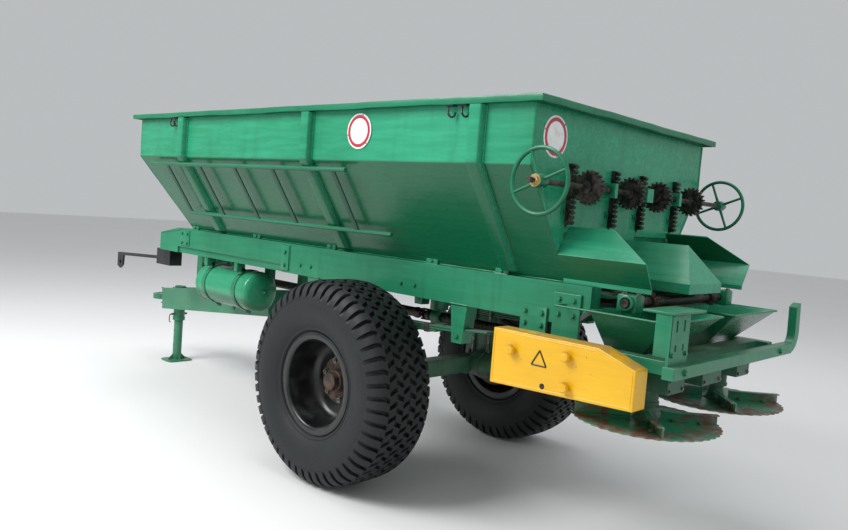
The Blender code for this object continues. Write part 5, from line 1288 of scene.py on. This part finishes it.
hangers = []
for low_y, high_y in ((FRAME_FRONT + 0.010, FRAME_FRONT + 0.070), (AXLE_Y - 0.030, AXLE_Y + 0.030)):
    hangers += [block((-0.050, low_y, SHAFT_LEVEL + 0.040), (0.050, high_y, FRAME_UNDER - 0.0005), 0.004),
                turned([(0.0295, 0.0), (0.046, 0.0), (0.050, 0.004), (0.050, high_y - low_y - 0.004),
                        (0.046, high_y - low_y), (0.0295, high_y - low_y)], (0, low_y, SHAFT_LEVEL),
                       (0, 1, 0), 40, ring=True)]
piece("shaft_hangers", together(*hangers), green)

# ---------------------------------------------------------------- chain guard
# A folded yellow box hides the chain on the left side. It has a seam round its outer face,
# three round knobs, an inspection hole drawn as a black disc of painted shade, and a black
# outlined triangle with nothing in it.

guard_yellow, yellow_shader, yellow_place = coating("guard_yellow", Coat_Weight=0.12, Coat_Roughness=0.2)
yellow_fade = yellow_place.noise(3.0, 4.0).step(0.30, 0.70)
yellow_strokes = yellow_place.noise(4.0, 4.0, 0.6, (10, 1.2, 10)).step(0.3, 0.75)
yellow_upward = yellow_place.node("NewGeometry", output="Normal").part(2).step(0.45, 0.90)
yellow_dust = yellow_upward * yellow_place.noise(14.0, 4.0).step(0.30, 0.55)
yellow_chips = (1 - yellow_place.cells(34.0).step(0.05, 0.10)) * yellow_place.noise(5.0).step(0.56, 0.62)
yellow_tone = (yellow_fade * 0.6 + yellow_strokes * 0.4).between(rgb(0.76, 0.41, 0.003),
    rgb(0.88, 0.50, 0.009))
yellow_tone = (yellow_dust * 0.7).between(yellow_tone, rgb(0.36, 0.22, 0.07))
feed(yellow_shader, Base_Color=yellow_chips.between(yellow_tone, rgb(0.14, 0.06, 0.03)),
     Roughness=yellow_strokes * 0.12 + yellow_dust * 0.3 + 0.30,
     Normal=yellow_place.bump(yellow_strokes * 0.5 - yellow_chips, 0.0010,
                              yellow_place.bump(yellow_place.noise(3.0, 2.0), 0.006)))
eased("chain_guard", guard_yellow, edge=0.005)
guard_low, guard_high = (np.array(corner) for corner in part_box("chain_guard"))
guard_face = guard_high[0] - 0.0004
corners = [(guard_low[1] + 0.012, guard_low[2] + 0.012), (guard_high[1] - 0.012, guard_low[2] + 0.037),
           (guard_high[1] - 0.012, 0.897), (AXLE_Y + 1.466, guard_high[2] - 0.012),
           (guard_low[1] + 0.012, guard_high[2] - 0.012)]
seam_parts = [weld((guard_face, *corners[k]), (guard_face, *corners[(k + 1) % 5]), 0.0022) for k in range(5)]
knob_section = [(0.009, 0.0), (0.009, 0.010), (0.019, 0.012), (0.022, 0.017), (0.022, 0.026), (0.018, 0.032),
                (0.008, 0.034)]
knob_places = [(guard_face - 0.001, AXLE_Y + y, z) for y,
               z in ((1.060, 0.885), (1.335, 0.905), (1.340, 0.780))]
piece("guard_knobs",
      together(*seam_parts, *[turned(knob_section, place, (1, 0, 0), 28) for place in knob_places]),
      guard_yellow)
# the inspection hole is a thin black disc: painted shade standing in for the dark opening
piece("guard_hole_painted_shade", together(turned([(0.0115, 0.0), (0.0125, 0.0006), (0.0110, 0.0012)],
                                    (guard_face, AXLE_Y + 1.225, 0.758), (1, 0, 0), 28)), wheel_black)
tip_y, tip_z, reach = AXLE_Y + 1.200, 0.862, 0.043
outline = [(guard_face + 0.0006, tip_y + reach * sin(a), tip_z + reach * cos(a))
           for a in (0, 2 * pi / 3, 4 * pi / 3)]
piece("guard_triangle",
      together(*[rod(outline[k], outline[(k + 1) % 3], 0.0034, 10, 0.001) for k in range(3)]), wheel_black)
